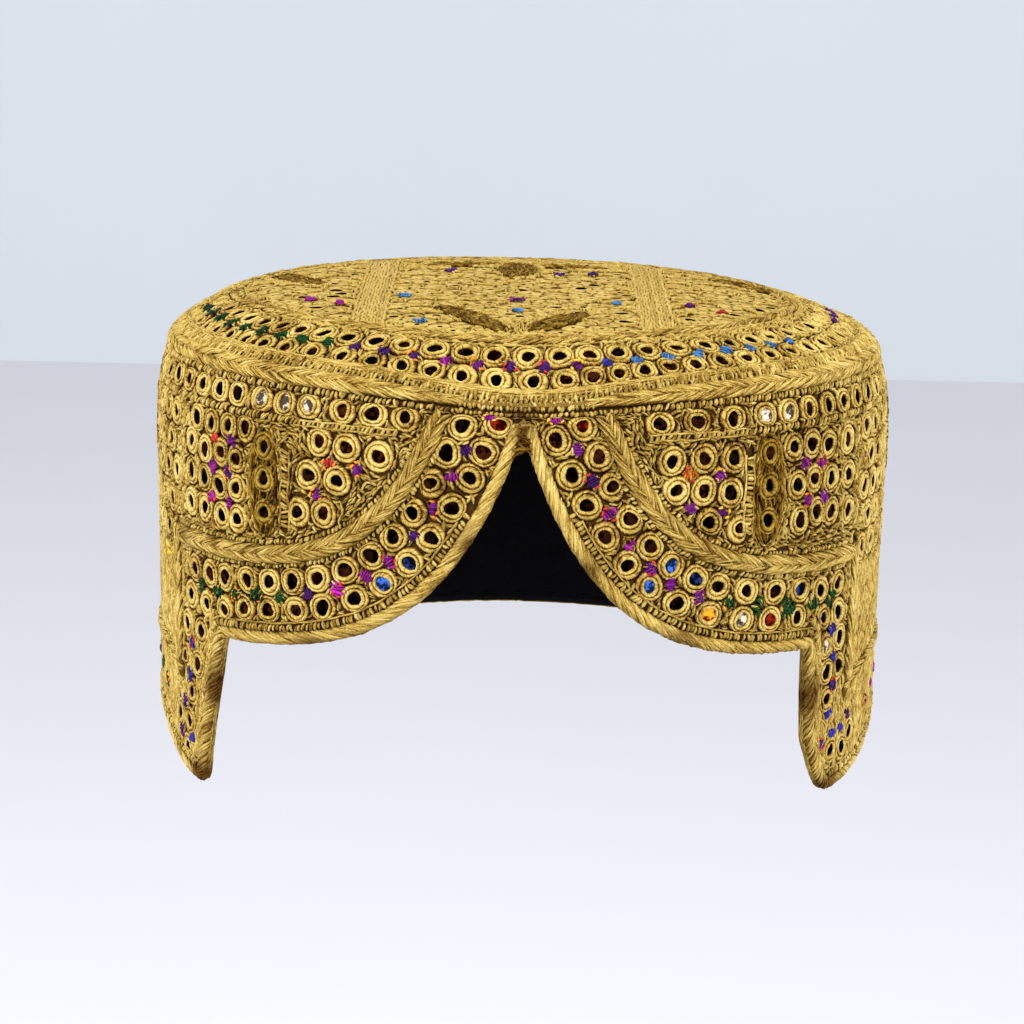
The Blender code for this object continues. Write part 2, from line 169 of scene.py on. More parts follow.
# Mirrors charted from the front, columns: angle, depth
FLAP_MIRRORS = (
    (-59.3, 55.0), (-54.6, 54.9), (-50.0, 54.6), (-60.9, 62.2), (-55.6, 62.9), (-50.6, 62.8),
    (-62.6, 70.4), (-57.6, 70.8), (-63.7, 79.2), (-58.9, 79.7), (-60.9, 87.6), (-66.0, 94.8),
    (-62.0, 95.6), (-62.8, 102.6),
    (46.8, 53.8), (52.3, 55.1), (57.3, 54.6), (47.1, 61.0), (53.4, 62.3), (57.8, 62.2),
    (54.6, 70.1), (58.9, 69.1), (55.2, 77.0), (59.0, 76.4), (55.6, 84.0), (57.6, 98.0),
    (61.6, 98.4), (64.5, 95.6),
)
PANEL_MIRRORS = (
    (-21.2, 18.3), (-26.4, 16.9), (-31.0, 16.1), (-27.8, 25.1), (-32.8, 24.7), (-30.1, 33.4),
    (-34.8, 34.1), (-45.6, 15.9), (-49.7, 16.4), (-54.2, 17.0), (-58.8, 16.6), (-47.6, 24.1),
    (-51.4, 23.4), (-56.0, 23.9), (-60.2, 22.8), (-47.6, 31.3), (-51.7, 31.8), (-56.0, 30.8),
    (-60.3, 30.4), (-47.3, 39.0), (-51.1, 39.1), (-56.0, 38.6), (-60.4, 38.2),
    (22.0, 18.0), (27.3, 17.8), (32.4, 18.2), (22.8, 24.9), (27.3, 25.5), (31.9, 26.6),
    (28.3, 33.3), (33.8, 35.5), (44.2, 17.4), (48.4, 17.5), (52.7, 18.4), (58.4, 18.6),
    (45.2, 27.0), (49.2, 26.2), (53.6, 27.0), (59.0, 27.4), (46.1, 35.9), (49.9, 34.6),
    (54.1, 35.6), (59.4, 36.6),
)
# Mirrors of a leaf, as shares of its length from the middle, and the room they take
LEAF_MIRRORS = (-0.355, -0.045, 0.29)
LEAF_MIRROR_ROOM = 3.3
# Row of mirrors under the top ladder: depth, angles charted in front, then a pitch to the last
TOP_ROW = {
    "depth": {-1: 8.3, 1: 9.0},
    "pitch": 4.9,
    "last": 177.8,
    "angles": {
        -1: (17.4, 22.5, 27.5, 33.5, 37.9, 42.7, 48.3, 52.9, 58.1),
        1: (20.2, 26.3, 32.4, 38.6, 43.4, 48.1, 53.1, 57.6),
    },
}
# Field of mirrors laid by rule: depths of its rows, then its angles and the room it needs
FIELD_ROWS = (17.0, 24.6, 32.2, 39.8, 47.4, 55.0, 62.6, 69.8)
FIELD_PITCH = 4.65
FIELD_START = 65.5
FIELD_JITTER = 0.35
FIELD_ROOM = 2.5
# Least distance between two mirrors, and between one laid by rule and a charted one
MIRROR_GAP = 5.0
CHARTED_GAP = 5.6

# Crown: the rows of mirrors and the bands, by radius
CROWN_ROWS = (77.8, 84.2)
CROWN_ROW_LEAN = 1.1
CROWN_ROW_FRONTS = (
    (
        -65.6, -59.7, -54.5, -49.1, -44.0, -38.3, -32.8, -27.1, -21.6, -15.9, -10.4, -5.3,
        0.6, 6.1, 11.5, 16.6, 22.1, 28.1, 34.2, 40.0, 45.8, 51.4, 57.3, 62.9,
    ),
    (
        -64.2, -58.7, -53.4, -48.4, -43.0, -36.9, -31.0, -25.4, -20.1, -15.2, -10.1, -4.5,
        1.5, 6.7, 11.2, 15.5, 19.9, 24.4, 29.2, 34.4, 39.9, 45.6, 51.3, 57.0, 62.6,
    ),
)
CROWN_ROW_PITCH = (5.45, 5.05)
CROWN_INNER_BRAID = {"radius": 71.8, "width": 3.2, "shift": 3.0, "flats": 2.4}
CROWN_RIM_BAND = (86.1, 87.8)
CROWN_STRIPES = (-38.5, 32.5)
CROWN_STRIPE_WIDTH = 7.6
CROWN_STRIPE_CORDS = 11
CROWN_BAND_GAP = 0.3
CROWN_FIELD_REACH = 72
CROWN_FIELD_PITCH = 6.4
CROWN_FIELD_JITTER = 1.3
CROWN_FIELD_ROOM = 1.9
# Hole sizes of the crown's small rings, and the share of rings with each
FIELD_HOLES = {0.3: 0.50, 0.5: 0.22, 0.9: 0.14, 1.55: 0.14}
# Leaves of the crown, columns: foot right and back, tip right and back, width
CROWN_LEAVES = (
    (-5.0, -67.5, -21.3, -35.5, 8.0),
    (1.2, -66.0, 15.0, -42.0, 8.0),
    (-66.5, 21.0, -53.5, -1.0, 8.0),
    (65.5, 11.0, 49.5, 28.5, 7.0),
    (-7.6, 46.5, -27.5, 40.5, 6.0),
    (4.6, 44.5, 22.5, 41.0, 6.0),
)
CROWN_BUD = (-2.0, 49.0, -2.0, 20.5, 10.5)

# A mirror's ring from its hole out, columns: share of the way, height, lit crest (painted light: painted
# shade in the grooves, painted highlight on the ridges)
RING_PROFILE = (
    (0.00, 0.10, 0.00),
    (0.05, 0.60, 0.72),
    (0.15, 0.92, 1.00),
    (0.32, 0.95, 0.92),
    (0.43, 0.72, 0.62),
    (0.50, 0.46, 0.10),
    (0.58, 0.70, 0.72),
    (0.70, 0.76, 0.94),
    (0.82, 0.60, 0.66),
    (0.90, 0.34, 0.22),
    (1.00, -0.05, 0.00),
)
# The field's smaller ring, the same columns; its lit crest is painted light as well: painted shade in the
# groove, painted highlight on the ridges
SMALL_RING_PROFILE = (
    (0.00, 0.02, 0.20),
    (0.10, 0.18, 0.80),
    (0.30, 0.26, 0.96),
    (0.60, 0.18, 0.72),
    (0.74, 0.23, 0.90),
    (0.90, 0.16, 0.78),
    (1.00, -0.02, 0.35),
)
RING_SIDES = 16
DISC_SIDES = 12

# One stitch of a braid, columns: share of its length, share of half the width, height,
# thickness, lit crest (painted light: painted shade at its ends, painted highlight on its top)
BRAID_STITCH = np.array([
    (0.00, 1.00, 0.35, 0.50, 0.62),
    (0.20, 0.86, 0.80, 0.88, 0.90),
    (0.42, 0.62, 1.00, 1.00, 1.00),
    (0.64, 0.32, 1.05, 1.00, 1.00),
    (0.84, 0.02, 0.98, 0.84, 0.86),
    (1.00, -0.26, 0.78, 0.40, 0.55),
]).T
# One wrap of the binding from the face round the edge to the back, columns: travel along the
# edge, distance into the cloth, height, thickness, lit crest (painted light: painted shade round the edge
# and behind it)
BINDING_WRAP = np.array([
    (0.0, 2.50, 0.55, 0.6, 0.70),
    (1.2, 2.10, 0.92, 0.9, 0.95),
    (2.9, 1.50, 1.02, 1.0, 1.00),
    (4.7, 0.80, 0.95, 1.0, 0.97),
    (6.3, 0.10, 0.55, 1.0, 0.90),
    (7.4, -0.22, -0.05, 1.0, 0.80),
    (8.6, -0.26, -0.60, 0.9, 0.70),
    (9.8, -0.12, -1.10, 0.7, 0.50),
]).T
WRAP_PITCH = 1.1
# Cords along the binding's narrow side face, columns: distance into the cloth, height
EDGE_CORDS = ((-0.26, -0.85), (-0.30, -1.30), (-0.26, -1.72))
# Section of the lining's hem, columns: distance into the cloth, height
HEM_SECTION = ((2.7, -2.78), (-0.25, -2.05), (-0.25, -1.5), (2.5, -1.35))
# Tape over the lining's seam, columns: depth, height
SEAM_TAPE = ((1.7, -3.4), (0.7, -4.2))
# Ladders over the wall's shoulder, columns: depth, height
SHOULDER_LADDERS = ((-0.75, 0.85), (0.15, 1.0))
# Depths of the ladders that stand in for the top braid over the notch
NOTCH_LADDERS = (1.2, 2.6)
# First and last depth of the tack of brown stitches in the notch
NOTCH_TACK = (8.6, 15.4)
# Raised cords of the crown's rim, columns: radius, height
RIM_CORDS = ((86.0, 0.45), (86.45, 0.85), (86.9, 1.0), (87.35, 0.95), (87.8, 0.6))

# Silk and glass, linear colours
DYES = {
    "magenta": (0.290, 0.008, 0.240),
    "violet": (0.065, 0.006, 0.140),
    "purple": (0.140, 0.005, 0.170),
    "green": (0.001, 0.046, 0.004),
    "blue": (0.028, 0.022, 0.300),
    "sky": (0.050, 0.190, 0.480),
    "orange": (0.800, 0.230, 0.012),
    "red": (0.480, 0.030, 0.020),
    "yellow": (0.850, 0.480, 0.020),
}
# The glass reflects nothing, so dark and brown are a painted dark reflection and the white glass a painted
# glint
GLASS = {
    "dark": (0.004, 0.0018, 0.0012),
    "brown": (0.026, 0.006, 0.002),
    "blue": (0.030, 0.095, 0.420),
    "navy": (0.010, 0.020, 0.085),
    "orange": (0.780, 0.230, 0.015),
    "red": (0.130, 0.008, 0.004),
    "painted_glint": (0.420, 0.380, 0.320),
}

UPRIGHT = np.array([0.0, 1.0])
SEED = 7
rng = np.random.default_rng(SEED)


# Surface

def place(angle, radius, height):
    x = radius * np.sin(angle)
    y = -DEPTH_OVER_WIDTH * radius * np.cos(angle)
    return np.stack([x, y, height + SEAM_HEIGHT], axis=-1) * MM


def sag(angle):
    from_front = (angle + math.pi) % (2 * math.pi) - math.pi
    return SAG * np.exp(-((from_front / SAG_ANGLE) ** 2))


def on_wall(spots):
    """World positions of wall chart points."""
    around, up, out = np.moveaxis(spots, -1, 0)
    angle = around / WALL_RADIUS
    depth = -up
    shoulder = np.exp(-depth / SHOULDER_DROP)
    share = np.maximum(depth, 0) / WALL_TAPER_DEPTH
    untapered = np.exp(-share ** 2)
    radius = SEAM_RADIUS + SHOULDER_SPREAD * (1 - shoulder) - WALL_TAPER * (1 - untapered)
    slope = SHOULDER_SPREAD * shoulder / SHOULDER_DROP
    slope = slope - 2 * WALL_TAPER * share * untapered / WALL_TAPER_DEPTH
    length = np.hypot(1.0, slope)
    reach = np.clip(1 - depth / SAG_REACH_ON_WALL, 0, 1)
    lowered = up - sag(angle) * reach
    return place(angle, radius + out / length, lowered + out * slope / length)


def crown_slope(radius, power=CROWN_RIM_POWER):
    share = radius / SEAM_RADIUS
    rim = CROWN_RIM_RISE * power * share ** (power - 1)
    return -(rim + 2 * CROWN_DOME_RISE * share) / SEAM_RADIUS


RADII = np.linspace(0, SEAM_RADIUS + 1, 500)
ARC_STEPS = np.hypot(1.0, crown_slope((RADII[1:] + RADII[:-1]) / 2)) * np.diff(RADII)
ARCS = np.concatenate([[0.0], np.cumsum(ARC_STEPS)])


def crown_arc(radius):
    return np.interp(radius, RADII, ARCS)


def on_crown(spots):
    """World positions of crown chart points."""
    right, back, out = np.moveaxis(spots, -1, 0)
    angle = np.arctan2(right, -back)
    radius = np.interp(np.hypot(right, back), ARCS, RADII)
    share = radius / SEAM_RADIUS
    power = CROWN_RIM_POWER - CROWN_LEFT_FULLNESS * np.sin(angle)
    height = CROWN_RIM_RISE * (1 - share ** power) + CROWN_DOME_RISE * (1 - share ** 2)
    slope = crown_slope(radius, power)
    length = np.hypot(1.0, slope)
    reach = np.clip((radius - SEAM_RADIUS + SAG_REACH_ON_CROWN) / SAG_REACH_ON_CROWN, 0, 1)
    return place(angle, radius - out * slope / length, height - sag(angle) * reach + out / length)


def wall_spot(angle, depth):
    """Wall chart points at these angles from the front, in degrees, and depths below the seam."""
    angle, depth = np.broadcast_arrays(angle, depth)
    return np.stack([np.radians(angle) * WALL_RADIUS, -depth], axis=-1)


def crown_spot(angle, radius):
    """Crown chart points at these angles from the front, in degrees, and radii of the cap."""
    turn = np.radians(angle)
    return crown_arc(radius)[..., None] * np.stack([np.sin(turn), -np.cos(turn)], axis=-1)


def crown_chart(right, back):
    """Crown chart point of a place given by its plain distances from the middle."""
    radius = math.hypot(right, back)
    return np.array([right, back]) * crown_arc(radius) / radius


def front_angle(spots):
    """Angles from the front of crown chart points, in degrees."""
    return np.degrees(np.arctan2(spots[..., 0], -spots[..., 1]))


def inner_braid_radius(angle):
    """The inner braid was sewn a little to the left and out of round."""
    turn = np.radians(angle)
    size = CROWN_INNER_BRAID
    return size["radius"] - size["shift"] * np.sin(turn) - size["flats"] * np.sin(2 * turn) ** 2


# Lines on a chart

def unit(steps):
    return steps / np.maximum(np.linalg.norm(steps, axis=-1, keepdims=True), 1e-9)


def left_of(ways):
    return np.stack([-ways[..., 1], ways[..., 0]], axis=-1)


def way_of(turn):
    return np.stack([np.cos(turn), np.sin(turn)], axis=-1)


def circle(sides):
    """Evenly spaced angles round a circle, and the direction at each."""
    turn = 2 * math.pi * np.arange(sides) / sides
    return turn, way_of(turn)


def lifted(flat, out):
    """Flat chart points with their height out of the cloth."""
    return np.concatenate([flat, np.broadcast_to(out, flat.shape[:-1])[..., None]], axis=-1)


def tube_quads(stations, sides, closed=False):
    """Faces between neighbouring stations of a tube, with the last joined to the first if closed."""
    grid = np.arange(stations * sides).reshape(stations, sides)
    grid = np.pad(grid, ((0, int(closed)), (0, 1)), mode="wrap")
    return np.stack([grid[:-1, :-1], grid[:-1, 1:], grid[1:, 1:], grid[1:, :-1]], axis=-1).reshape(-1, 4)


def vary(count, low, high):
    return rng.uniform(low, high, (count, 1))


def shake(count, size):
    return rng.normal(0, size, (count, 1))


def by_parts(work, spots, size=2000):
    """The results of a function that is run on a few spots at a time, to save memory."""
    return np.concatenate([work(spots[first:first + size]) for first in range(0, len(spots), size)])


def away(spots, line):
    """Distance of each spot from a line of straight runs."""
    step = np.diff(line, axis=0)
    size = np.maximum((step ** 2).sum(1), 1e-9)

    def nearest(part):
        offset = part[:, None] - line[:-1]
        share = np.clip((offset * step).sum(-1) / size, 0, 1)
        return np.sqrt(((offset - share[..., None] * step) ** 2).sum(-1)).min(1)

    return by_parts(nearest, spots)


def runs_of(line):
    """Distance along a line at each of its points."""
    return np.concatenate([[0.0], np.cumsum(np.linalg.norm(np.diff(line, axis=0), axis=1))])


def resample(line, pitch):
    """Evenly spaced points of a line, about a pitch apart, both ends included."""
    run = runs_of(line)
    at = np.linspace(0, run[-1], max(2, int(round(run[-1] / pitch)) + 1))
    return np.stack([np.interp(at, run, places) for places in line.T], axis=1)


class Track:
    """A line with its length, on which things are laid by along and across."""

    def __init__(self, line, step=0.8):
        self.line = resample(np.asarray(line, float), step)
        self.run = runs_of(self.line)
        self.length = self.run[-1]
        self.side = left_of(unit(np.gradient(self.line, axis=0)))

    def spots(self, along, across):
        """Chart points at distances along the line and to its left."""
        along = np.clip(along, 0, self.length)
        return np.stack([
            np.interp(along, self.run, line) + np.interp(along, self.run, side) * across
            for line, side in zip(self.line.T, self.side.T)
        ], axis=-1)


def scallop_depth(angle, corner, turn):
    """Depth of a scallop that flattens away from the notch and meets the flap at the corner."""
    fall = SCALLOP_DEPTH - NOTCH_TOP
    corner_angle, corner_depth = corner
    depth = SCALLOP_DEPTH - fall * np.exp(-angle / turn)
    at_corner = SCALLOP_DEPTH - fall * np.exp(-corner_angle / turn)
    return depth + (corner_depth - at_corner) * (angle / corner_angle) ** SCALLOP_EASING


def half_edge(sign):
    """The lower edge from the notch to the back, on one side."""
    angles = np.array(SCALLOP_ANGLES, float)
    depths = scallop_depth(angles, FLAPS[sign][0], SCALLOP_TURN[sign])
    points = np.array([(0.0, NOTCH_TOP), *zip(angles, depths), *FLAPS[sign], (180.0, BACK_DEPTH)])
    return wall_spot(sign * points[:, 0], points[:, 1])


def inset_line(line, distance, step=0.5):
    """A line moved to its left: round outside its corners and cut short inside them."""
    normals = left_of(unit(np.diff(line, axis=0)))
    spots = []
    for number, (start, end) in enumerate(zip(line, line[1:])):
        if number:
            before = normals[number - 1]
            turn = math.acos(np.clip(before @ normals[number], -1, 1))
            count = int(turn * distance / step)
            for share in (np.arange(count) + 0.5) / max(count, 1):
                spots.append(start + distance * unit(before * (1 - share) + normals[number] * share))
        count = max(1, int(np.linalg.norm(end - start) / step))
        for share in np.arange(count) / count:
            spots.append(start + (end - start) * share + normals[number] * distance)
    spots = np.array(spots)
    return spots[away(spots, line) > 0.985 * distance]


# Bands that rings and loose stitches keep clear of

half_edges = {sign: half_edge(sign) for sign in (-1, 1)}
edge = np.concatenate([half_edges[-1][::-1], half_edges[1][1:]])


def near_notch(spots):
    """1 beside the narrow top of the notch, 0 further down and away."""
    depth = -spots[:, 1]
    beside = np.abs(spots[:, 0]) < NARROW_NOTCH["side"]
    return beside / (1 + np.exp((depth - NARROW_NOTCH["depth"]) / NARROW_NOTCH["easing"]))


def panel_line(sign, start=PANEL_BRAID["start"]):
    size = PANEL_BRAID
    angles = np.linspace(start, size["end"][sign], 60)
    depths = size["depth"] - size["rise"] * np.exp(-(angles - size["start"]) / size["turn"])
    return wall_spot(sign * angles, depths)


def side_line(sign):
    return wall_spot(sign * SIDE_BRAID["angle"][sign], [SIDE_BRAID["top"], SIDE_BRAID["bottom"]])


def back_line(sign):
    """Half of the back braid, from beside a flap to the middle of the back."""
    size = BACK_BRAID
    start = SIDE_BRAID["angle"][sign] - size["overlap"]
    angles = np.linspace(start, 180, 80)
    depths = size["depth"] + size["drop"] * np.exp(-(angles - start) / size["turn"])
    return wall_spot(sign * angles, depths)


def flap_front(sign):
    """The line of the braid inside a flap's front edge, from above the corner to the tip."""
    angles, depths = np.array(FLAPS[sign][:4]).T
    flap = wall_spot(sign * angles, depths)
    top = flap[:1] + [0.0, FLAP_BRAID_RISE]
    return np.concatenate([top, flap]) + [sign * FLAP_BRAID_INSET, 0.0]


def level(depth, start=0.0, end=180.0, sign=1):
    return wall_spot(sign * np.linspace(start, end, 50), depth)


def comb_line(size, aside=0.0):
    """An upright line beside a leaf, on its side toward the front."""
    angle, depth, length, width = size
    sign = math.copysign(1, angle)
    reach = np.linspace(-0.40, 0.36, 20)[:, None] * [0.0, length]
    return wall_spot(angle, depth) + reach - [sign * (width / 2 + COMB_ASIDE[sign] + aside), 0.0]


def oval_room(offset, way, length, width):
    """Room to an oval that lies along a direction, by the offset from its middle."""
    share = np.hypot(offset @ left_of(way) / (width / 2), offset @ way / (length / 2))
    return (share - 1) * width / 2


def leaf_room(spots):
    """Room from each wall spot to the nearest leaf, negative inside one."""
    rooms = []
    for angle, depth, length, width in WALL_LEAVES:
        offset = spots - wall_spot(angle, depth)
        offset[:, 0] = (offset[:, 0] + HALF_ROUND) % (2 * HALF_ROUND) - HALF_ROUND
        rooms.append(oval_room(offset, UPRIGHT, length, width))
    return np.min(rooms, axis=0)


def wall_bands():
    """The wall's braids, ladders and combs, each a line with half its width."""
    bands = [(comb_line(size), COMB_WIDTH / 2) for size in WALL_LEAVES[:COMBED_LEAVES]]
    for sign in (-1, 1):
        bands += [
            (level(SHOULDER_BAND["depth"], sign=sign), SHOULDER_BAND["half"]),
            (level(sum(SECOND_LADDER) / 2, SECOND_LADDER_START, sign=sign), SECOND_LADDER_HALF),
            (panel_line(sign)[4::4], PANEL_BRAID_WIDTH / 2 + PANEL_LADDER_WIDTH),
            (side_line(sign), SIDE_BRAID_WIDTH / 2 + BRAID_GAP),
            (back_line(sign)[::4], SIDE_BRAID_WIDTH / 2 + BRAID_GAP),
            (flap_front(sign), FLAP_BRAID_WIDTH / 2 + BRAID_GAP),
        ]
    return bands


WALL_BANDS = wall_bands()


def edge_depth(around):
    """Depth of the lower edge at each distance round the cap."""
    left, right = [
        np.interp(sign * around, sign * line[:, 0], -line[:, 1]) for sign, line in half_edges.items()
    ]
    return np.where(around < 0, left, right)


def wall_clearance(spots):
    """Free distance from each wall spot to the nearest band, negative inside one or off the cloth."""
    free = away(spots, edge) - EDGE_BAND["width"] + EDGE_BAND["narrower"] * near_notch(spots)
    free = np.where(-spots[:, 1] < edge_depth(spots[:, 0]), free, OFF_THE_CLOTH)
    bands = [away(spots, line) - half for line, half in WALL_BANDS]
    return np.min([free, leaf_room(spots), *bands], axis=0)


def crown_leaf_lines():
    """Axis of each leaf patch of the crown with its width, the bud last."""
    return [
        (np.array([crown_chart(foot_right, foot_back), crown_chart(tip_right, tip_back)]), width)
        for foot_right, foot_back, tip_right, tip_back, width in (*CROWN_LEAVES, CROWN_BUD)
    ]


def crown_clearance(spots):
    """Free distance from each crown spot to the nearest band or leaf."""
    arc = np.hypot(spots[:, 0], spots[:, 1])
    braid_arc = crown_arc(inner_braid_radius(front_angle(spots)))
    free = np.abs(arc - braid_arc) - CROWN_INNER_BRAID["width"] / 2 - CROWN_BAND_GAP
    free = np.minimum(free, crown_arc(CROWN_RIM_BAND[0]) - arc)
    stripe_half = CROWN_STRIPE_WIDTH / 2 + CROWN_BAND_GAP
    stripes = [np.abs(spots[:, 0] - right) - stripe_half for right in CROWN_STRIPES]
    free = np.where(arc < braid_arc, np.min([free, *stripes], axis=0), free)
    leaves = [
        oval_room(spots - line.mean(0), unit(line[1] - line[0]), np.linalg.norm(line[1] - line[0]), width)
        for line, width in crown_leaf_lines()
    ]
    return np.min([free, *leaves], axis=0)


# Pieces

# Painted light of a strand: how light its flanks are painted, and how much lighter its top is painted as a
# highlight, with painted shade beneath
FLANK_PAINTED_LIGHT = 0.89
TOP_PAINTED_LIGHT = 0.34


def link(name, data):
    item = bpy.data.objects.new(name, data)
    bpy.context.scene.collection.objects.link(item)
    return item


class Piece:
    """Closed strands and rings of one piece, gathered on a chart before they become a mesh."""

    def __init__(self, name, surface, slot, material):
        self.name = name
        self.surface = surface
        self.slot = slot
        self.material = material
        self.spots = []
        self.thread = []
        self.dye = []
        self.quads = []
        self.caps = []
        self.count = 0

    def add(self, spots, quads, caps, across, crest, dye=None):
        """Bodies that share one pattern of faces, with values for each body or for each spot."""
        number, *inner = spots.shape[:-1]
        per = math.prod(inner)
        tone = rng.random(number).reshape(number, *[1] * len(inner))
        values = [np.broadcast_to(value, (number, *inner)).ravel() for value in (across, tone, crest)]
        first = (self.count + np.arange(number) * per)[:, None, None]
        self.spots.append(spots.reshape(-1, 3))
        self.thread.append(np.stack(values, axis=-1))
        self.quads.append((first + quads).reshape(-1, 4))
        self.caps += [(first + cap).reshape(-1, len(cap)) for cap in caps]
        if dye is not None:
            self.dye.append(np.repeat(dye, per, axis=0))
        self.count += number * per

    def build(self):
        """The mesh object, laid on the cap, with the values that its material reads."""
        spots = np.concatenate(self.spots)
        faces = self.quads + self.caps
        corners = np.concatenate([group.ravel() for group in faces])
        totals = np.concatenate([np.full(len(group), group.shape[1]) for group in faces])
        mesh = bpy.data.meshes.new(self.name)
        mesh.vertices.add(len(spots))
        mesh.vertices.foreach_set("co", self.surface(spots).astype(np.float32).ravel())
        mesh.loops.add(len(corners))
        mesh.loops.foreach_set("vertex_index", corners.astype(np.int32))
        mesh.polygons.add(len(totals))
        mesh.polygons.foreach_set("loop_start", (np.cumsum(totals) - totals).astype(np.int32))
        mesh.polygons.foreach_set("loop_total", totals.astype(np.int32))
        mesh.polygons.foreach_set("use_smooth", np.ones(len(totals), bool))
        mesh.update(calc_edges=True)
        thread = np.concatenate(self.thread)
        # Painted light: the crest is raised on the wall's sides and flaps
        thread[:, 2] += side_painted_light(spots, self.surface)
        add_attribute(mesh, "thread", thread)
        add_attribute(mesh, "age", age_of(spots, self.surface))
        if self.dye:
            add_attribute(mesh, "dye", np.concatenate(self.dye))
        mesh.materials.append(self.material)
        item = link(self.name, mesh)
        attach(item, "root")
        return item


def add_attribute(mesh, name, values):
    kind = "FLOAT" if values.ndim == 1 else "FLOAT_VECTOR"
    field = "value" if values.ndim == 1 else "vector"
    mesh.attributes.new(name, kind, "POINT").data.foreach_set(field, values.astype(np.float32).ravel())


# Painted light on the wall's sides and flaps: how much lighter they are painted, and the angles where that
# starts and is full
PAINTED_LIGHT_ON_SIDES = 0.09
PAINTED_LIGHT_ANGLES = (48.0, 62.0)
# Brown wear, columns: angle, depth, size round the cap, size down the cap, strength
WORN_SPOTS = (
    (0.0, 7.5, 2.4, 5.5, 1.0),
    (-53.6, 84.0, 3.0, 5.5, 1.0),
    (-58.6, 108.6, 4.0, 4.0, 1.0),
    (50.9, 82.0, 3.0, 5.0, 1.0),
    (57.0, 107.0, 5.0, 3.5, 1.0),
    (-32.0, 65.5, 5.0, 2.6, 0.7),
    (-7.5, 38.0, 3.0, 3.5, 0.8),
    (10.0, 43.5, 3.0, 3.0, 0.8),
    (24.0, 61.5, 5.0, 2.6, 0.7),
    (-62.0, 47.0, 4.0, 3.0, 0.4),
)


def side_painted_light(spots, surface):
    """Painted light: the thread on the wall's sides and flaps is painted a little lighter."""
    if surface is not on_wall:
        return 0.0
    start, full = wall_spot(PAINTED_LIGHT_ANGLES, 0.0)[:, 0]
    return PAINTED_LIGHT_ON_SIDES * np.clip((np.abs(spots[:, 0]) - start) / (full - start), 0, 1)


def age_of(spots, surface):
    """How worn and brown the thread is at each chart point."""
    age = np.zeros(len(spots))
    if surface is on_wall:
        for angle, depth, wide, high, strength in WORN_SPOTS:
            offset = (spots[:, :2] - wall_spot(angle, depth)) / (wide, high)
            age = np.maximum(age, strength * np.exp(-(offset ** 2).sum(1)))
    return age


def sweep(piece, paths, half_width, half_height, sides=4, crest=1.0, dye=None):
    """Closed strands along paths (strand, station, 3), with sizes given per strand and station."""
    shape = paths.shape[:2]
    stations = shape[1]
    half_width, half_height, crest = [
        np.broadcast_to(value, shape)[..., None] for value in (half_width, half_height, crest)
    ]
    ahead = unit(np.gradient(paths, axis=1))
    side = unit(lifted(left_of(ahead), 0.0))
    up = np.cross(ahead, side)
    turn = math.pi / 2 + circle(sides)[0]
    across = np.cos(turn) * half_width
    spots = paths[:, :, None] + side[:, :, None] * across[..., None]
    spots = spots + up[:, :, None] * (np.sin(turn) * half_height)[..., None]
    # Painted shade on the strand's flanks and underside, painted highlight on its top
    crest = crest * np.clip(FLANK_PAINTED_LIGHT + TOP_PAINTED_LIGHT * np.sin(turn), 0.05, 1)
    ring = np.arange(sides)
    caps = [ring, (stations - 1) * sides + ring[::-1]]
    piece.add(spots, tube_quads(stations, sides)[:, ::-1], caps, across, crest, dye)


def ladder(piece, line, width, pitch=LADDER_PITCH, height=0.5, slant=0.25, free=None):
    """A row of short thick stitches across a line."""
    track = Track(line)
    count = max(2, int(track.length / pitch))
    along = (np.arange(count) + 0.5) * track.length / count + rng.normal(0, 0.2, count)
    if free is not None:
        along = along[free(track.spots(along, 0.0))]
        count = len(along)
    lean = slant + shake(count, 0.3)
    across = np.array([-0.5, -0.2, 0.2, 0.5]) * width * vary(count, 0.8, 1.2) + shake(count, 0.14)
    flat = track.spots(along[:, None] + across * lean, across)
    out = 0.3 + height * np.array([0.1, 0.95, 1.0, 0.1]) + shake(count, 0.08)
    half = 0.48 * vary(count, 0.7, 1.2) * np.array([0.7, 1.0, 1.0, 0.7])
    sweep(piece, lifted(flat, out), half, half * 0.85, crest=vary(count, 0.6, 0.98))


def cord(piece, line, half=0.3, out=0.7, step=1.6, wobble=0.06, crest=0.9):
    """One long cord lying along a line."""
    spots = resample(line, step)
    count = len(spots)
    side = left_of(unit(np.gradient(spots, axis=0)))
    spots = spots + side * shake(count, wobble)
    paths = lifted(spots, out + rng.normal(0, wobble * 0.7, count))[None]
    thick = half * rng.uniform(0.85, 1.15, (1, count))
    sweep(piece, paths, thick, thick, crest=crest * rng.uniform(0.88, 1.0, (1, count)))


def clear_runs(line, keep):
    """The parts of a line, at least four points long, whose points are kept."""
    runs, run = [], []
    for spot, kept in zip(line, keep):
        if kept:
            run.append(spot)
        elif run:
            runs.append(run)
            run = []
    return [np.array(run) for run in [*runs, run] if len(run) > 3]


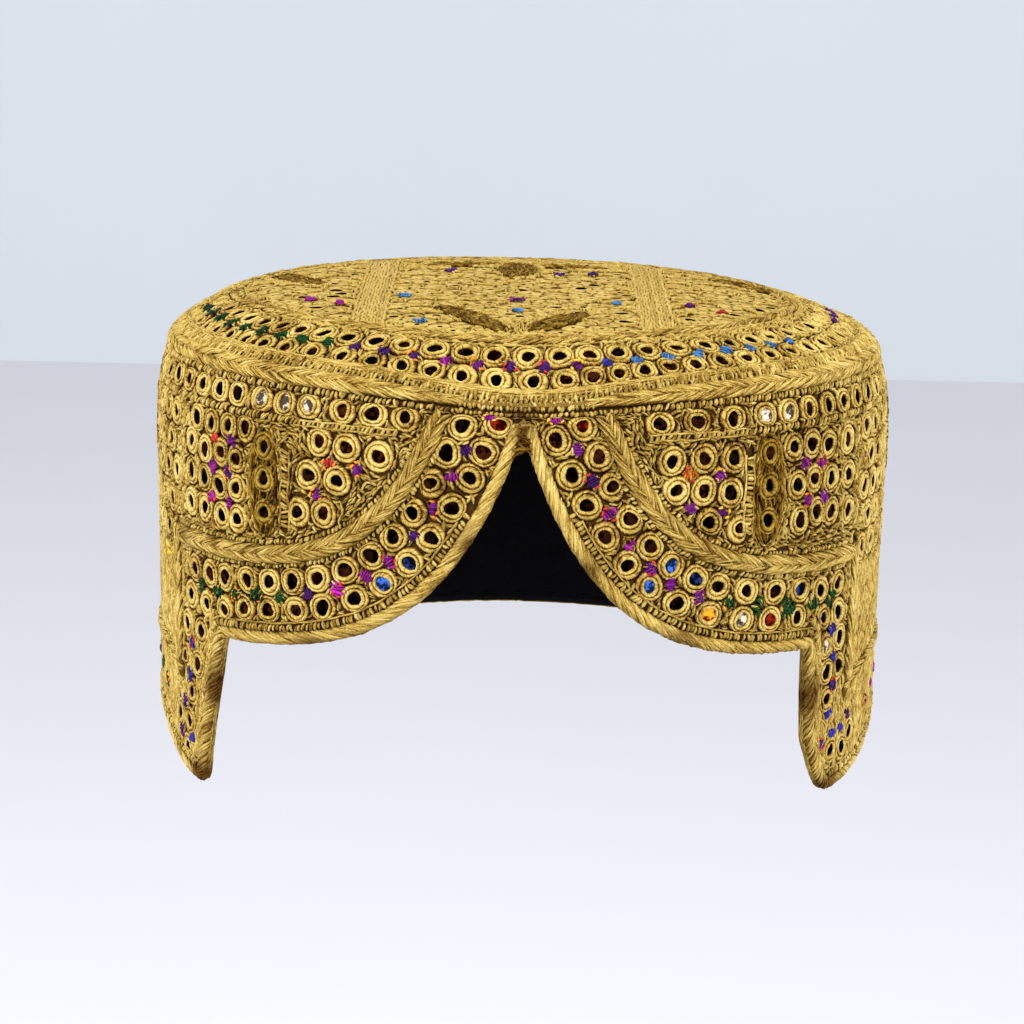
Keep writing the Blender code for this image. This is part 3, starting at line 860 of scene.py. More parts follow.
def braid(piece, line, width, pitch=0.9, length=5.6, top=1.5, thick=0.48, narrow=None):
    """Herringbone of long satin stitches that dive under each other at the middle."""
    shares, reach, height, girth, light = BRAID_STITCH
    track = Track(line)
    count = max(4, int((track.length + length * 0.5) / pitch))
    along = np.arange(count) * (track.length + length * 0.4) / count - length * 0.55
    for sign in (-1, 1):
        starts = along + (0.5 * pitch if sign > 0 else 0.0) + rng.normal(0, 0.32, count)
        runs = starts[:, None] + shares * length * vary(count, 0.75, 1.3)
        across = sign * reach * width / 2 * vary(count, 0.86, 1.06)
        across = across + shake(count, 0.16) + rng.normal(0, 0.06, runs.shape)
        if narrow is not None:
            across = across * narrow(track.spots(runs, 0.0))
        inside = (runs >= 0) & (runs <= track.length)
        paths = lifted(track.spots(runs, across), top * height + shake(count, 0.10))
        half = 1.12 * thick * girth * vary(count, 0.6, 1.25) * np.where(inside, 1.0, 0.25)
        crest = light * vary(count, 0.68, 1.0)
        keep = inside.sum(1) >= 3
        sweep(piece, paths[keep], half[keep], 0.70 * half[keep], sides=3, crest=crest[keep])


def ring_reach(centres, others, clearance, longest, shortest):
    """How far each ring reaches in each direction before it meets a neighbour or a band."""
    ways = circle(RING_SIDES)[1]

    def half_way(part):
        gap = others - part[:, None]
        square = (gap ** 2).sum(-1)[..., None]
        toward = gap @ ways.T
        near = (square > 0.01) & (square < (2.2 * longest) ** 2) & (toward > 1e-3)
        return np.where(near, square / np.maximum(toward, 1e-3) / 2, math.inf).min(1)

    reach = np.minimum(longest, by_parts(half_way, centres, 100) - 0.05)
    for size in np.arange(longest, shortest, -0.25):
        spots = centres[:, None] + ways * size
        blocked = clearance(spots.reshape(-1, 2)).reshape(reach.shape) < 0.05
        reach = np.where(blocked, np.minimum(reach, size - 0.15), reach)
    reach = np.maximum(reach, shortest)
    smooth = (np.roll(reach, 1, axis=1) + 2 * reach + np.roll(reach, -1, axis=1)) / 4
    return np.minimum(smooth, reach + 0.25)


def rings(piece, centres, reach, holes, profile, low=1.0):
    """Thread rings round the mirrors: round at the hole, taking the shape of their cell outside."""
    number, stations = len(centres), len(profile)
    share, height, light = np.array(profile).T[:, None, :, None]
    turn, ways = circle(RING_SIDES)
    phase = rng.uniform(0, 2 * math.pi, (number, 4, 1))
    oval = 1 + 0.13 * np.cos(2 * turn + phase[:, 0]) + 0.07 * np.cos(3 * turn + phase[:, 1])
    inner = holes[:, None] * oval * rng.uniform(0.95, 1.05, (number, RING_SIDES))
    even = np.minimum(reach.mean(1, keepdims=True), reach.min(1, keepdims=True) + 0.6)
    drift = 0.07 * np.sin(turn + phase[:, 2]) + 0.035 * np.sin(3 * turn + phase[:, 3])
    share = share + drift[:, None] * np.sin(math.pi * share)
    morph = np.clip((share - 0.40) / 0.45, 0, 1)
    outer = even[:, None] * (1 - morph) + reach[:, None] * morph
    radius = inner[:, None] + share * (outer - inner[:, None])
    grow = rng.uniform(0.85, 1.12, (number, 1, 1)) * low
    lump = 1 + 0.06 * np.sin(turn * 4 + phase[:, 0])[:, None] + rng.normal(0, 0.07, radius.shape)
    spots = lifted(centres[:, None, None] + radius[..., None] * ways, height * grow * lump)
    broken = 0.14 * np.sin(2 * turn + phase[:, 1])[:, None] + rng.normal(0, 0.12, radius.shape)
    across = 2.0 * np.abs((turn - math.pi) % (2 * math.pi) - math.pi) + 0.5 * radius
    quads = tube_quads(stations, RING_SIDES, closed=True)[:, [0, 3, 2, 1]]
    # The lit crest is painted light: painted shade in the ring's grooves, painted highlight on its ridges
    piece.add(spots, quads, [], across, np.clip(light + broken, 0, 1))


def discs(piece, centres, radii, dyes, out=0.42):
    """Mirror glass: thin closed lenses, each a little tilted."""
    ways = circle(DISC_SIDES)[1]
    size = radii[:, None, None]
    tilt = rng.normal(0, 0.05, (len(centres), 1, 2))
    lift = (ways * tilt * size).sum(-1)
    low_rim = lifted(centres[:, None] + ways * size, out - 0.1 + lift)
    high_rim = lifted(centres[:, None] + ways * (size * 0.86), out + 0.08 + lift)
    corner = np.arange(DISC_SIDES)
    caps = [corner[::-1], DISC_SIDES + corner]
    piece.add(np.concatenate([low_rim, high_rim], axis=1), tube_quads(2, DISC_SIDES), caps, 0.0, 1.0, dyes)


def silk(piece, rows, size=1.5):
    """Clusters of satin stitches with a few bits in a second dye, from rows of centre and two dyes."""
    centres, names, seconds = zip(*rows)
    centres = np.array(centres)
    number = len(centres)
    size = size * rng.uniform(0.85, 1.2, number) * np.where(np.array(names) == "green", 1.4, 1.0)
    way = way_of(rng.uniform(0, math.pi, number))
    colours = np.array([DYES[name] for name in names])
    for place_aside in np.linspace(-1, 1, 5):
        strand_way = unit(way + left_of(way) * shake(number, 0.18))
        reach = size * math.sqrt(1.15 - place_aside ** 2 * 0.8) * rng.uniform(0.7, 1.15, number)
        middle = centres + left_of(way) * (place_aside * 0.85 * size)[:, None]
        runs = np.array([-1.0, -0.35, 0.35, 1.0]) * reach[:, None]
        height = 0.5 + 0.42 * np.array([0.0, 1.0, 1.0, 0.0]) + shake(number, 0.10)
        paths = lifted(middle[:, None] + strand_way[:, None] * runs[..., None], height)
        half = 0.42 * np.array([0.6, 1.0, 1.0, 0.6]) * vary(number, 0.75, 1.1)
        shade = colours * vary(number, 0.55, 1.35)
        sweep(piece, paths, half, half * 0.8, crest=vary(number, 0.55, 1.0), dye=shade)
    for centre, name in zip(centres, seconds):
        if name is None:
            continue
        for turn in rng.uniform(0, 2 * math.pi) + np.array([0.0, 0.9, 3.1]):
            middle = centre + rng.uniform(1.3, 1.9) * way_of(turn)
            flat = middle + way_of(turn + 1.3) * np.array([-0.55, 0.0, 0.55])[:, None]
            dye = np.array([DYES[name]]) * rng.uniform(0.7, 1.2)
            sweep(piece, lifted(flat, [0.75, 1.05, 0.75])[None], [0.24, 0.38, 0.24], 0.3, dye=dye)


def seeds(piece, spots, ways, longest=1.2, low=0.0, thick=(0.41, 0.60), lean=0.25, light=(0.5, 0.95)):
    """Short stitches that fill the gaps, following the rings and bands beside them."""
    number = len(spots)
    way = unit(ways + shake(number, lean) * left_of(ways))
    runs = np.array([-1.0, -0.34, 0.34, 1.0]) * (vary(number, 0.65, 1.0) * longest)
    bend = shake(number, 0.12) * np.array([1.0, 0.0, 0.0, 1.0])
    flat = spots[:, None] + way[:, None] * runs[..., None]
    flat = flat + left_of(way)[:, None] * bend[..., None]
    height = low + 0.10 + 0.30 * np.array([0.0, 1.0, 1.0, 0.0]) + vary(number, 0, 0.25)
    half = vary(number, *thick) * np.array([0.6, 1.0, 1.0, 0.6])
    sweep(piece, lifted(flat, height), half, half * 0.9, sides=3, crest=vary(number, *light))


def gap_field(spots, centres, reach, clearance):
    """Distance from each spot to the nearest ring's edge or band."""

    def to_ring(part):
        gap = part[:, None] - centres
        far = np.linalg.norm(gap, axis=-1)
        nearest = far.argmin(1)
        pick = np.arange(len(part))
        offset = gap[pick, nearest]
        turn = np.arctan2(offset[:, 1], offset[:, 0]) % (2 * math.pi)
        sector = np.round(turn / (2 * math.pi) * RING_SIDES).astype(int) % RING_SIDES
        return far[pick, nearest] - reach[nearest, sector]

    return np.minimum(by_parts(to_ring, spots), clearance(spots))


def jittered_grid(low, high, pitch):
    """Points of a square grid, each moved a little from its place."""
    axes = [np.arange(start, end, pitch) for start, end in zip(low, high)]
    grid = np.stack(np.meshgrid(*axes), axis=-1).reshape(-1, 2)
    return grid + rng.uniform(-0.4, 0.4, grid.shape) * pitch


def free_spots(low, high, pitch, centres, reach, clearance, margin=0.1):
    """Grid points outside every ring and band, each with the way along what is nearest."""
    grid = jittered_grid(low, high, pitch)
    grid = grid[clearance(grid) > margin]
    field = gap_field(grid, centres, reach, clearance)
    grid, field = grid[field > margin], field[field > margin]
    slopes = [
        gap_field(grid + step, centres, reach, clearance) - field
        for step in ((0.3, 0.0), (0.0, 0.3))
    ]
    return grid, left_of(unit(np.stack(slopes, axis=-1) + 1e-6))


def leaf(piece, middle, way, length, width, low, mirrors=None):
    """A worn patch of stitches that run along a leaf, clear of its mirrors."""
    size = np.array([length, width]) / 2
    for pitch, lift in ((1.15, 0.0), (1.35, 0.15)):
        grid = jittered_grid(-size, size, pitch)
        grid = grid[np.linalg.norm(grid / size, axis=1) < 0.98]
        spots = middle + grid[:, :1] * way + grid[:, 1:] * left_of(way)
        bow = grid[:, :1] * grid[:, 1:] / (length * width / 8)
        ways = unit(way - bow * left_of(way) * 0.35)
        if mirrors is not None:
            free = np.linalg.norm(spots[:, None] - mirrors, axis=-1).min(1) > LEAF_MIRROR_ROOM
            spots, ways = spots[free], ways[free]
        seeds(piece, spots, ways, 1.9, low + lift, thick=(0.30, 0.48), lean=0.3, light=(0.35, 1.0))


def spindle(piece, middle, way, length, width, low):
    """Long cords that bow round a row of mirrors, from tip to tip."""
    for share in (-1.12, -0.98, -0.82, 0.82, 0.98, 1.12):
        reach = length / 2 * (1.05 if abs(share) < 1 else 1.0)
        along = np.linspace(-reach, reach, 24)
        across = share * width / 2 * np.sqrt(np.maximum(0.02, 1 - (along / (length / 2 + 1.2)) ** 2))
        line = middle + along[:, None] * way + across[:, None] * left_of(way)
        out = low + rng.uniform(-0.1, 0.1)
        cord(piece, line, half=0.36, out=out, wobble=0.12, crest=rng.uniform(0.7, 1.0))


# Node materials

class Nodes:
    """A material with short ways of adding shader nodes to it."""

    def __init__(self, name):
        self.material = bpy.data.materials.new(name)
        self.material.use_nodes = True
        self.tree = self.material.node_tree
        self.shader = self.tree.nodes["Principled BSDF"]
        self.place = self.add("ShaderNodeTexCoord").outputs["Object"]

    def add(self, kind, inputs=(), **settings):
        node = self.tree.nodes.new(kind)
        for key, value in settings.items():
            setattr(node, key, value)
        for key, value in dict(inputs).items():
            self.set(node.inputs[key], value)
        return node

    def set(self, socket, value):
        if isinstance(value, bpy.types.NodeSocket):
            self.tree.links.new(value, socket)
        else:
            socket.default_value = value

    def math(self, operation, *values, clamp=False):
        settings = {"operation": operation, "use_clamp": clamp}
        return self.add("ShaderNodeMath", enumerate(values), **settings).outputs[0]

    def attribute(self, name, output="Vector"):
        return self.add("ShaderNodeAttribute", attribute_name=name).outputs[output]

    def split(self, vector):
        return self.add("ShaderNodeSeparateXYZ", {0: vector}).outputs

    def dot(self, vector, direction):
        node = self.add("ShaderNodeVectorMath", {0: vector, 1: direction}, operation="DOT_PRODUCT")
        return node.outputs["Value"]

    def noise(self, vector, scale, detail=2.0, roughness=0.55):
        inputs = {"Vector": vector, "Scale": scale, "Detail": detail, "Roughness": roughness}
        return self.add("ShaderNodeTexNoise", inputs).outputs[0]

    def ramp(self, value, stops):
        node = self.add("ShaderNodeValToRGB", {"Fac": value})
        points = node.color_ramp.elements
        while len(points) < len(stops):
            points.new(0.5)
        for point, (position, colour) in zip(points, stops):
            point.position = position
            point.color = (*colour, 1.0)
        return node.outputs["Color"]

    def mix(self, share, first, second, blend="MIX"):
        inputs = {0: share, 6: first, 7: second}
        return self.add("ShaderNodeMix", inputs, data_type="RGBA", blend_type=blend).outputs[2]

    def finish(self, colour, roughness, specular, bump=None):
        """Sets the shader; a bump is a height, its strength and its depth in millimetres."""
        inputs = self.shader.inputs
        self.set(inputs["Base Color"], colour)
        self.set(inputs["Roughness"], roughness)
        inputs["Specular IOR Level"].default_value = specular
        if bump:
            height, strength, depth = bump
            values = {"Height": height, "Strength": strength, "Distance": depth * MM}
            self.set(inputs["Normal"], self.add("ShaderNodeBump", values).outputs[0])
        return self.material


def thread_light(nodes, contrast=1.0, lift=0.0):
    """How light a thread is, by its crest (painted shade in the grooves, painted highlight on the ridges),
    tone and noises, and its fibre, patina and grain noises.
    """
    across, tone, crest = nodes.split(nodes.attribute("thread"))
    first = nodes.math("MULTIPLY_ADD", across, 3.4, nodes.math("MULTIPLY", tone, 31.0))
    second = nodes.dot(nodes.place, (330.0, 170.0, 130.0))
    third = nodes.dot(nodes.place, (-100.0, 230.0, 340.0))
    joined = nodes.add("ShaderNodeCombineXYZ", {0: first, 1: second, 2: third}).outputs[0]
    fibre = nodes.noise(joined, 1.0, 3.0, 0.65)
    patina = nodes.noise(nodes.place, 75.0, 3.0, 0.6)
    grain = nodes.noise(nodes.place, 2100.0, 3.0, 0.7)
    value = nodes.math("MULTIPLY_ADD", crest, 0.74, lift)
    for noise, share in ((fibre, 1.25), (grain, 0.75), (tone, 0.20), (patina, 0.45)):
        value = nodes.math("MULTIPLY_ADD", nodes.math("SUBTRACT", noise, 0.5), share * contrast, value)
    return value, fibre, patina, grain


def thread_material(name, stops, worn_stops, contrast=1.0, lift=0.0):
    """Silk and metal thread: painted shade in the grooves, painted highlight on the crests, brown where it
    is worn.
    """
    nodes = Nodes(name)
    value, fibre, patina, grain = thread_light(nodes, contrast, lift)
    age = nodes.attribute("age", "Fac")
    ragged = nodes.math("MULTIPLY_ADD", nodes.math("SUBTRACT", patina, 0.5), 1.2, age)
    ragged = nodes.math("MULTIPLY", ragged, 1.25, clamp=True)
    share = nodes.math("MULTIPLY", ragged, nodes.math("GREATER_THAN", age, 0.02))
    colour = nodes.mix(share, nodes.ramp(value, stops), nodes.ramp(value, worn_stops))
    shine = nodes.math("MULTIPLY_ADD", nodes.math("SUBTRACT", fibre, 0.5), 0.35, 0.6)
    height = nodes.math("MULTIPLY_ADD", grain, 0.7, fibre)
    return nodes.finish(colour, shine, 0.025, (height, 0.7, 0.26 * contrast))


GOLD = (
    (0.00, (0.014, 0.0035, 0.0005)),
    (0.20, (0.074, 0.028, 0.0028)),
    (0.40, (0.215, 0.122, 0.020)),
    (0.62, (0.435, 0.295, 0.066)),
    (0.80, (0.590, 0.435, 0.128)),
    (1.00, (0.700, 0.550, 0.210)),
)
BROWN = (
    (0.00, (0.007, 0.002, 0.0003)),
    (0.25, (0.032, 0.012, 0.0010)),
    (0.50, (0.120, 0.058, 0.0050)),
    (0.75, (0.265, 0.150, 0.016)),
    (1.00, (0.440, 0.285, 0.050)),
)
WORN = (
    (0.00, (0.008, 0.002, 0.0003)),
    (0.35, (0.038, 0.012, 0.0012)),
    (0.65, (0.105, 0.046, 0.006)),
    (1.00, (0.230, 0.120, 0.020)),
)
TAN = (
    (0.00, (0.010, 0.0035, 0.0004)),
    (0.25, (0.058, 0.026, 0.0022)),
    (0.50, (0.165, 0.090, 0.010)),
    (0.75, (0.320, 0.200, 0.030)),
    (1.00, (0.500, 0.345, 0.075)),
)


def silk_material():
    nodes = Nodes("silk_accent")
    value, fibre = thread_light(nodes)[:2]
    # Painted shade and painted highlight on the silk, from its crest
    light = nodes.ramp(value, ((0.0, (0.05, 0.05, 0.05)), (0.45, (0.5, 0.5, 0.5)), (1.0, (1.5, 1.5, 1.5))))
    colour = nodes.mix(1.0, nodes.attribute("dye", "Color"), light, "MULTIPLY")
    return nodes.finish(colour, 0.35, 0.12, (fibre, 0.7, 0.22))


def mirror_material():
    """Glass that reflects nothing, its colour a painted reflection, with cloudy patches that break up the
    painted glints and specks that vary its roughness.
    """
    nodes = Nodes("mirror")
    cloud = nodes.noise(nodes.place, 420.0, 3.0, 0.65)
    speck = nodes.noise(nodes.place, 1900.0, 2.0, 0.7)
    # Painted glint patches: cloudy light and dark patches over the painted reflection
    painted_glint_patches = nodes.ramp(cloud, ((0.49, (0.14, 0.11, 0.09)), (0.58, (1.7, 1.6, 1.5))))
    colour = nodes.mix(1.0, nodes.attribute("dye", "Color"), painted_glint_patches, "MULTIPLY")
    return nodes.finish(colour, nodes.math("MULTIPLY_ADD", speck, 0.4, 0.2), 0.0, (cloud, 0.15, 0.1))


def ground_material(name, stops, scale=1.0, pale=None):
    """Cotton under the stitches, with a plain weave; pale stops colour the flaps and sides."""
    nodes = Nodes(name)
    patches = nodes.noise(nodes.place, 260.0 * scale, 3.0, 0.6)
    weave = nodes.noise(nodes.place, 2600.0 * scale, 2.0, 0.7)
    value = nodes.math("MULTIPLY_ADD", weave, 0.6, nodes.math("MULTIPLY", patches, 0.5))
    colour = nodes.ramp(value, stops)
    if pale:
        places = nodes.split(nodes.place)
        low = nodes.math("LESS_THAN", places["Z"], PALE_BELOW * MM)
        aside = nodes.math("GREATER_THAN", nodes.math("ABSOLUTE", places["X"]), PALE_BESIDE * MM)
        colour = nodes.mix(nodes.math("MAXIMUM", low, aside), colour, nodes.ramp(value, pale))
    return nodes.finish(colour, 0.9, 0.03, (weave, 0.6, 0.15))


def stage_material(name, colour):
    nodes = Nodes(name)
    value = nodes.math("MULTIPLY_ADD", nodes.noise(nodes.place, 2.0, 3.0), 0.06, 0.97)
    grey = nodes.add("ShaderNodeCombineColor", {0: value, 1: value, 2: value}).outputs[0]
    return nodes.finish(nodes.mix(1.0, (*colour, 1.0), grey, "MULTIPLY"), 0.85, 0.1)


# Colours of the cotton grounds from shade to light, and where the wall's ground turns pale
DARK_STOPS = ((0.2, (0.010, 0.003, 0.0008)), (0.75, (0.085, 0.040, 0.008)))
PALE_STOPS = ((0.2, (0.14, 0.075, 0.010)), (0.75, (0.46, 0.31, 0.075)))
CROWN_STOPS = ((0.2, (0.10, 0.052, 0.009)), (0.75, (0.34, 0.225, 0.052)))
LINING_STOPS = ((0.2, (0.0012, 0.0011, 0.0013)), (0.9, (0.0060, 0.0056, 0.0064)))
BRAID_STOPS = ((0.2, (0.050, 0.025, 0.004)), (0.8, (0.26, 0.16, 0.035)))
LEAF_STOPS = ((0.2, (0.010, 0.005, 0.001)), (0.8, (0.06, 0.03, 0.006)))
PALE_BELOW = -77.0
PALE_BESIDE = 85.0

gold = thread_material("gold_thread", GOLD, WORN)
pale_gold = thread_material("crown_thread", GOLD, WORN, contrast=0.48, lift=0.02)
stripe_gold = thread_material("stripe_thread", GOLD, WORN, contrast=0.45, lift=0.05)
brown = thread_material("aged_thread", BROWN, BROWN, contrast=1.3)
leaf_tan = thread_material("crown_leaf_thread", TAN, TAN, contrast=0.9)
silk_look = silk_material()
mirror_look = mirror_material()
ground = ground_material("dark_ground", DARK_STOPS, pale=PALE_STOPS)
crown_ground = ground_material("crown_ground", CROWN_STOPS)
lining = ground_material("black_cotton", LINING_STOPS, 0.8)
core_gold = ground_material("braid_core", BRAID_STOPS)
core_brown = ground_material("leaf_core", LEAF_STOPS)


# The cap

border_tracks = {sign: Track(line, 0.4) for sign, line in half_edges.items()}


def border_spot(sign, along, inset):
    """Chart points by their distance along the edge from the notch and into the cloth."""
    return border_tracks[sign].spots(along, sign * inset)


def row_inset(row, along):
    """Distance into the cloth of a border row, which runs nearer the edge beside the notch."""
    size = BORDER_ROWS[row]
    return size["inset"] - size["closer"] * np.exp(-np.asarray(along) / size["reach"])


def far_back(line, angle):
    """The points of a line that are further from the front than an angle."""
    return line[np.abs(line[:, 0]) > wall_spot(angle, 0)[0]]


def wall_mirror_spots():
    """Centres of the wall's mirrors: the charted ones, then the rows and borders laid by rule."""
    charted = [
        border_spot(sign, along, row_inset(row, along))
        for (sign, row), along in BORDER_MIRRORS.items()
    ]
    charted.append(wall_spot(*np.transpose(FLAP_MIRRORS + PANEL_MIRRORS)))
    for sign, angles in TOP_ROW["angles"].items():
        others = np.arange(angles[-1] + 5, TOP_ROW["last"], TOP_ROW["pitch"])
        charted.append(wall_spot(sign * np.append(angles, others), TOP_ROW["depth"][sign]))
    charted = np.concatenate(charted)
    field = []
    for number, depth in enumerate(FIELD_ROWS):
        start = FIELD_START + (number % 2) * FIELD_PITCH / 2
        angles = np.arange(start, 360 - FIELD_START, FIELD_PITCH)
        row = wall_spot(np.where(angles <= 180, angles, angles - 360), depth)
        field.append(row + rng.uniform(-FIELD_JITTER, FIELD_JITTER, row.shape))
    for inset in BACK_BORDER_INSETS:
        row = resample(inset_line(edge, inset), BACK_BORDER_PITCH)
        field.append(far_back(row, BACK_BORDER_START))
    field = np.concatenate(field)
    field = field[(wall_clearance(field) > FIELD_ROOM) & ~in_side_satin(field)]
    gap = np.linalg.norm(field[:, None] - charted, axis=-1).min(1)
    return thin_out(np.concatenate([charted, field[gap > CHARTED_GAP]]), MIRROR_GAP)


def in_side_satin(spots):
    angle = np.degrees(np.abs(spots[:, 0]) / WALL_RADIUS)
    first, last, depth = SIDE_SATIN
    return (angle > first) & (angle < last) & (-spots[:, 1] > depth)


def thin_out(spots, least):
    """Drops a spot that comes too near an earlier one."""
    kept = []
    for spot in spots:
        if not kept or np.linalg.norm(np.array(kept) - spot, axis=1).min() > least:
            kept.append(spot)
    return np.array(kept)


def with_wrap(spots):
    """The spots with copies of those near the back seam beyond its other side, and whose they are."""
    owners = [np.arange(len(spots))]
    copies = [spots]
    for sign in (-1, 1):
        near = np.flatnonzero(sign * spots[:, 0] > HALF_ROUND - PAST_SEAM)
        owners.append(near)
        copies.append(spots[near] - [sign * 2 * HALF_ROUND, 0.0])
    return np.concatenate(copies), np.concatenate(owners)


def leaf_mirror_spots():
    return np.array([
        wall_spot(angle, depth + share * length)
        for angle, depth, length, _ in WALL_LEAVES
        for share in LEAF_MIRRORS
    ])


# Angles from the front, in radians, where one piece of the wall's rings ends and the next begins
RING_PIECE_LIMITS = (-1.2, -0.35, 0.35, 1.2)
# Mirrors with a colour given one at a time, columns: angle, depth, glass; the white glass is a painted
# glint
WALL_GLASS = (
    (-20.0, 48.7, "blue"), (19.0, 47.8, "blue"), (22.1, 43.5, "blue"), (26.3, 47.3, "navy"),
    (28.9, 56.2, "orange"), (-3.6, 8.7, "red"), (7.7, 9.2, "red"), (35.2, 59.4, "painted_glint"),
    (40.5, 60.0, "red"), (-16.3, 42.7, "navy"), (47.0, 54.2, "navy"), (-37.9, 8.3, "painted_glint"),
    (-42.7, 8.3, "painted_glint"), (-33.5, 8.3, "painted_glint"), (38.6, 9.0, "painted_glint"), (43.4, 9.0, "painted_glint"),
    (54.5, 69.7, "painted_glint"), (-31.0, 16.1, "brown"), (-26.4, 16.9, "brown"),
)


def glass_of(centres):
    """Painted dark reflection for each mirror's glass, near black or dark red brown."""
    share = vary(len(centres), 0, 1) ** 2.5
    return np.array(GLASS["dark"]) * (1 - share) + np.array(GLASS["brown"]) * share


def build_wall():
    spots = wall_mirror_spots()
    everyone, owners = with_wrap(spots)
    reach = ring_reach(spots, everyone, wall_clearance, longest=4.15, shortest=2.35)
    holes = np.minimum(rng.uniform(1.4, 1.85, len(spots)), reach.min(1) - 0.95)
    parts = np.digitize(spots[:, 0], np.array(RING_PIECE_LIMITS) * WALL_RADIUS)
    for number in range(len(RING_PIECE_LIMITS) + 1):
        inside = parts == number
        piece = Piece("wall_rings_%d" % (number + 1), on_wall, "embroidered_cloth", gold)
        rings(piece, spots[inside], reach[inside], holes[inside], RING_PROFILE)
        piece.build()
    glass = Piece("wall_mirrors", on_wall, "mirror", mirror_look)
    dyes = glass_of(spots)
    for angle, depth, name in WALL_GLASS:
        nearest = np.linalg.norm(spots - wall_spot(angle, depth), axis=1).argmin()
        dyes[nearest] = GLASS[name]
    discs(glass, spots, holes + 0.35, dyes)
    build_wall_leaves(glass)
    build_combs()
    build_wall_stitches(everyone, reach[owners])
    build_wall_braids()
    build_binding()
    build_wall_silk()


def build_wall_leaves(glass):
    """The leaves' mirrors, rings and stitches; their glass joins the wall's."""
    spots = leaf_mirror_spots()
    reach = np.full((len(spots), RING_SIDES), 3.9) * vary(len(spots), 0.9, 1.08)
    holes = rng.uniform(1.25, 1.6, len(spots))
    discs(glass, spots, holes + 0.3, glass_of(spots), out=0.5)
    glass.build()
    circles = Piece("wall_leaf_rings", on_wall, "aged_thread", leaf_tan)
    rings(circles, spots, reach, holes, RING_PROFILE, low=1.3)
    circles.build()
    patches = Piece("wall_leaf_stitches", on_wall, "aged_thread", brown)
    for angle, depth, length, width in WALL_LEAVES:
        middle = wall_spot(angle, depth)
        leaf(patches, middle, UPRIGHT, length * 0.98, width * 0.94, 0.25, spots)
        spindle(patches, middle, UPRIGHT, length, width, 0.5)
    patch = patches.build()
    for number in range(1, len(WALL_LEAVES) + 1):
        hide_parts("wall_leaf_%d" % number)


def build_combs():
    """A comb of short stitches between upright cords, on the front side of each leaf."""
    piece = Piece("leaf_combs", on_wall, "embroidered_cloth", gold)
    for size in WALL_LEAVES[:COMBED_LEAVES]:
        for aside in COMB_CORDS:
            cord(piece, comb_line(size, aside), half=0.34, out=0.55, wobble=0.16)
        ladder(piece, comb_line(size), 2.4, pitch=1.05, height=0.6, slant=0.15)
    piece.build()


def off_leaves(spots):
    return leaf_room(spots) > 0.6


def off_notch(spots, least=0.35):
    return near_notch(spots) < least


def build_wall_stitches(spots, reach):
    """The ladders with their cords, and the seed stitches in all the room that is left."""
    piece = Piece("wall_ladder_stitches", on_wall, "embroidered_cloth", gold)
    for sign in (-1, 1):
        ladder(piece, level(sum(TOP_LADDER) / 2, sign=sign), 1.5)
        for depth in NOTCH_LADDERS:
            short = level(depth, 0, TOP_BRAID_OPEN + 1.5, sign)
            ladder(piece, short, 1.5, pitch=1.15, height=0.95, slant=0.0)
        second = level(sum(SECOND_LADDER) / 2, SECOND_LADDER_START, sign=sign)
        ladder(piece, second, 1.6, pitch=1.35, slant=0.5, free=off_leaves)
        for depth in SECOND_LADDER:
            for start in SECOND_CORD_STARTS:
                line = level(depth, start, start + SECOND_CORD_TURN, sign)
                cord(piece, line, half=0.26, out=0.6, wobble=0.14)
        track = Track(panel_line(sign))
        aside = (PANEL_BRAID_WIDTH + PANEL_LADDER_WIDTH) / 2
        for side in (-1, 1):
            beside = track.spots(np.linspace(4, track.length, 80), side * aside)
            ladder(piece, beside, 1.1, slant=0.5)
    ladder(piece, inset_line(edge, EDGE_LADDER_INSET), 1.7, slant=0.15, free=off_notch)
    inner_edge = inset_line(edge, EDGE_CORD_INSET)[::3]
    for run in clear_runs(inner_edge, off_notch(inner_edge, 0.25)):
        cord(piece, run, half=0.26, out=0.6)
    piece.build()
    piece = Piece("wall_seed_stitches", on_wall, "embroidered_cloth", gold)
    low, high = (-HALF_ROUND, -110), (HALF_ROUND, -6)
    spots, ways = free_spots(low, high, WALL_SEED_PITCH, spots, reach, wall_clearance)
    last_angle, first_depth = SMOOTH_FLAP
    on_flap = (-spots[:, 1] > first_depth) & (np.abs(spots[:, 0]) < wall_spot(last_angle, 0)[0])
    smooth = in_side_satin(spots) | on_flap
    seeds(piece, spots[~smooth], ways[~smooth])
    upright = unit(ways[smooth] * np.sign(ways[smooth][:, 1:] + 1e-6) * 0.5 + UPRIGHT)
    seeds(piece, spots[smooth], upright, 2.4, thick=(0.26, 0.42), lean=0.12, light=(0.72, 0.98))
    piece.build()


def top_braid_bottom(angle):
    """The top braid is squeezed where the seam sags over the notch."""
    return TOP_BRAID[1] - (TOP_BRAID[1] - TOP_BRAID_FRONT) * sag(angle) / SAG


def top_braid_share(spots):
    width = top_braid_bottom(spots[..., 0] / WALL_RADIUS) - TOP_BRAID[0]
    return width / (TOP_BRAID[1] - TOP_BRAID[0])


def top_braid_line(sign):
    angles = np.linspace(TOP_BRAID_OPEN, 180, 120)
    return wall_spot(sign * angles, (TOP_BRAID[0] + top_braid_bottom(np.radians(angles))) / 2)


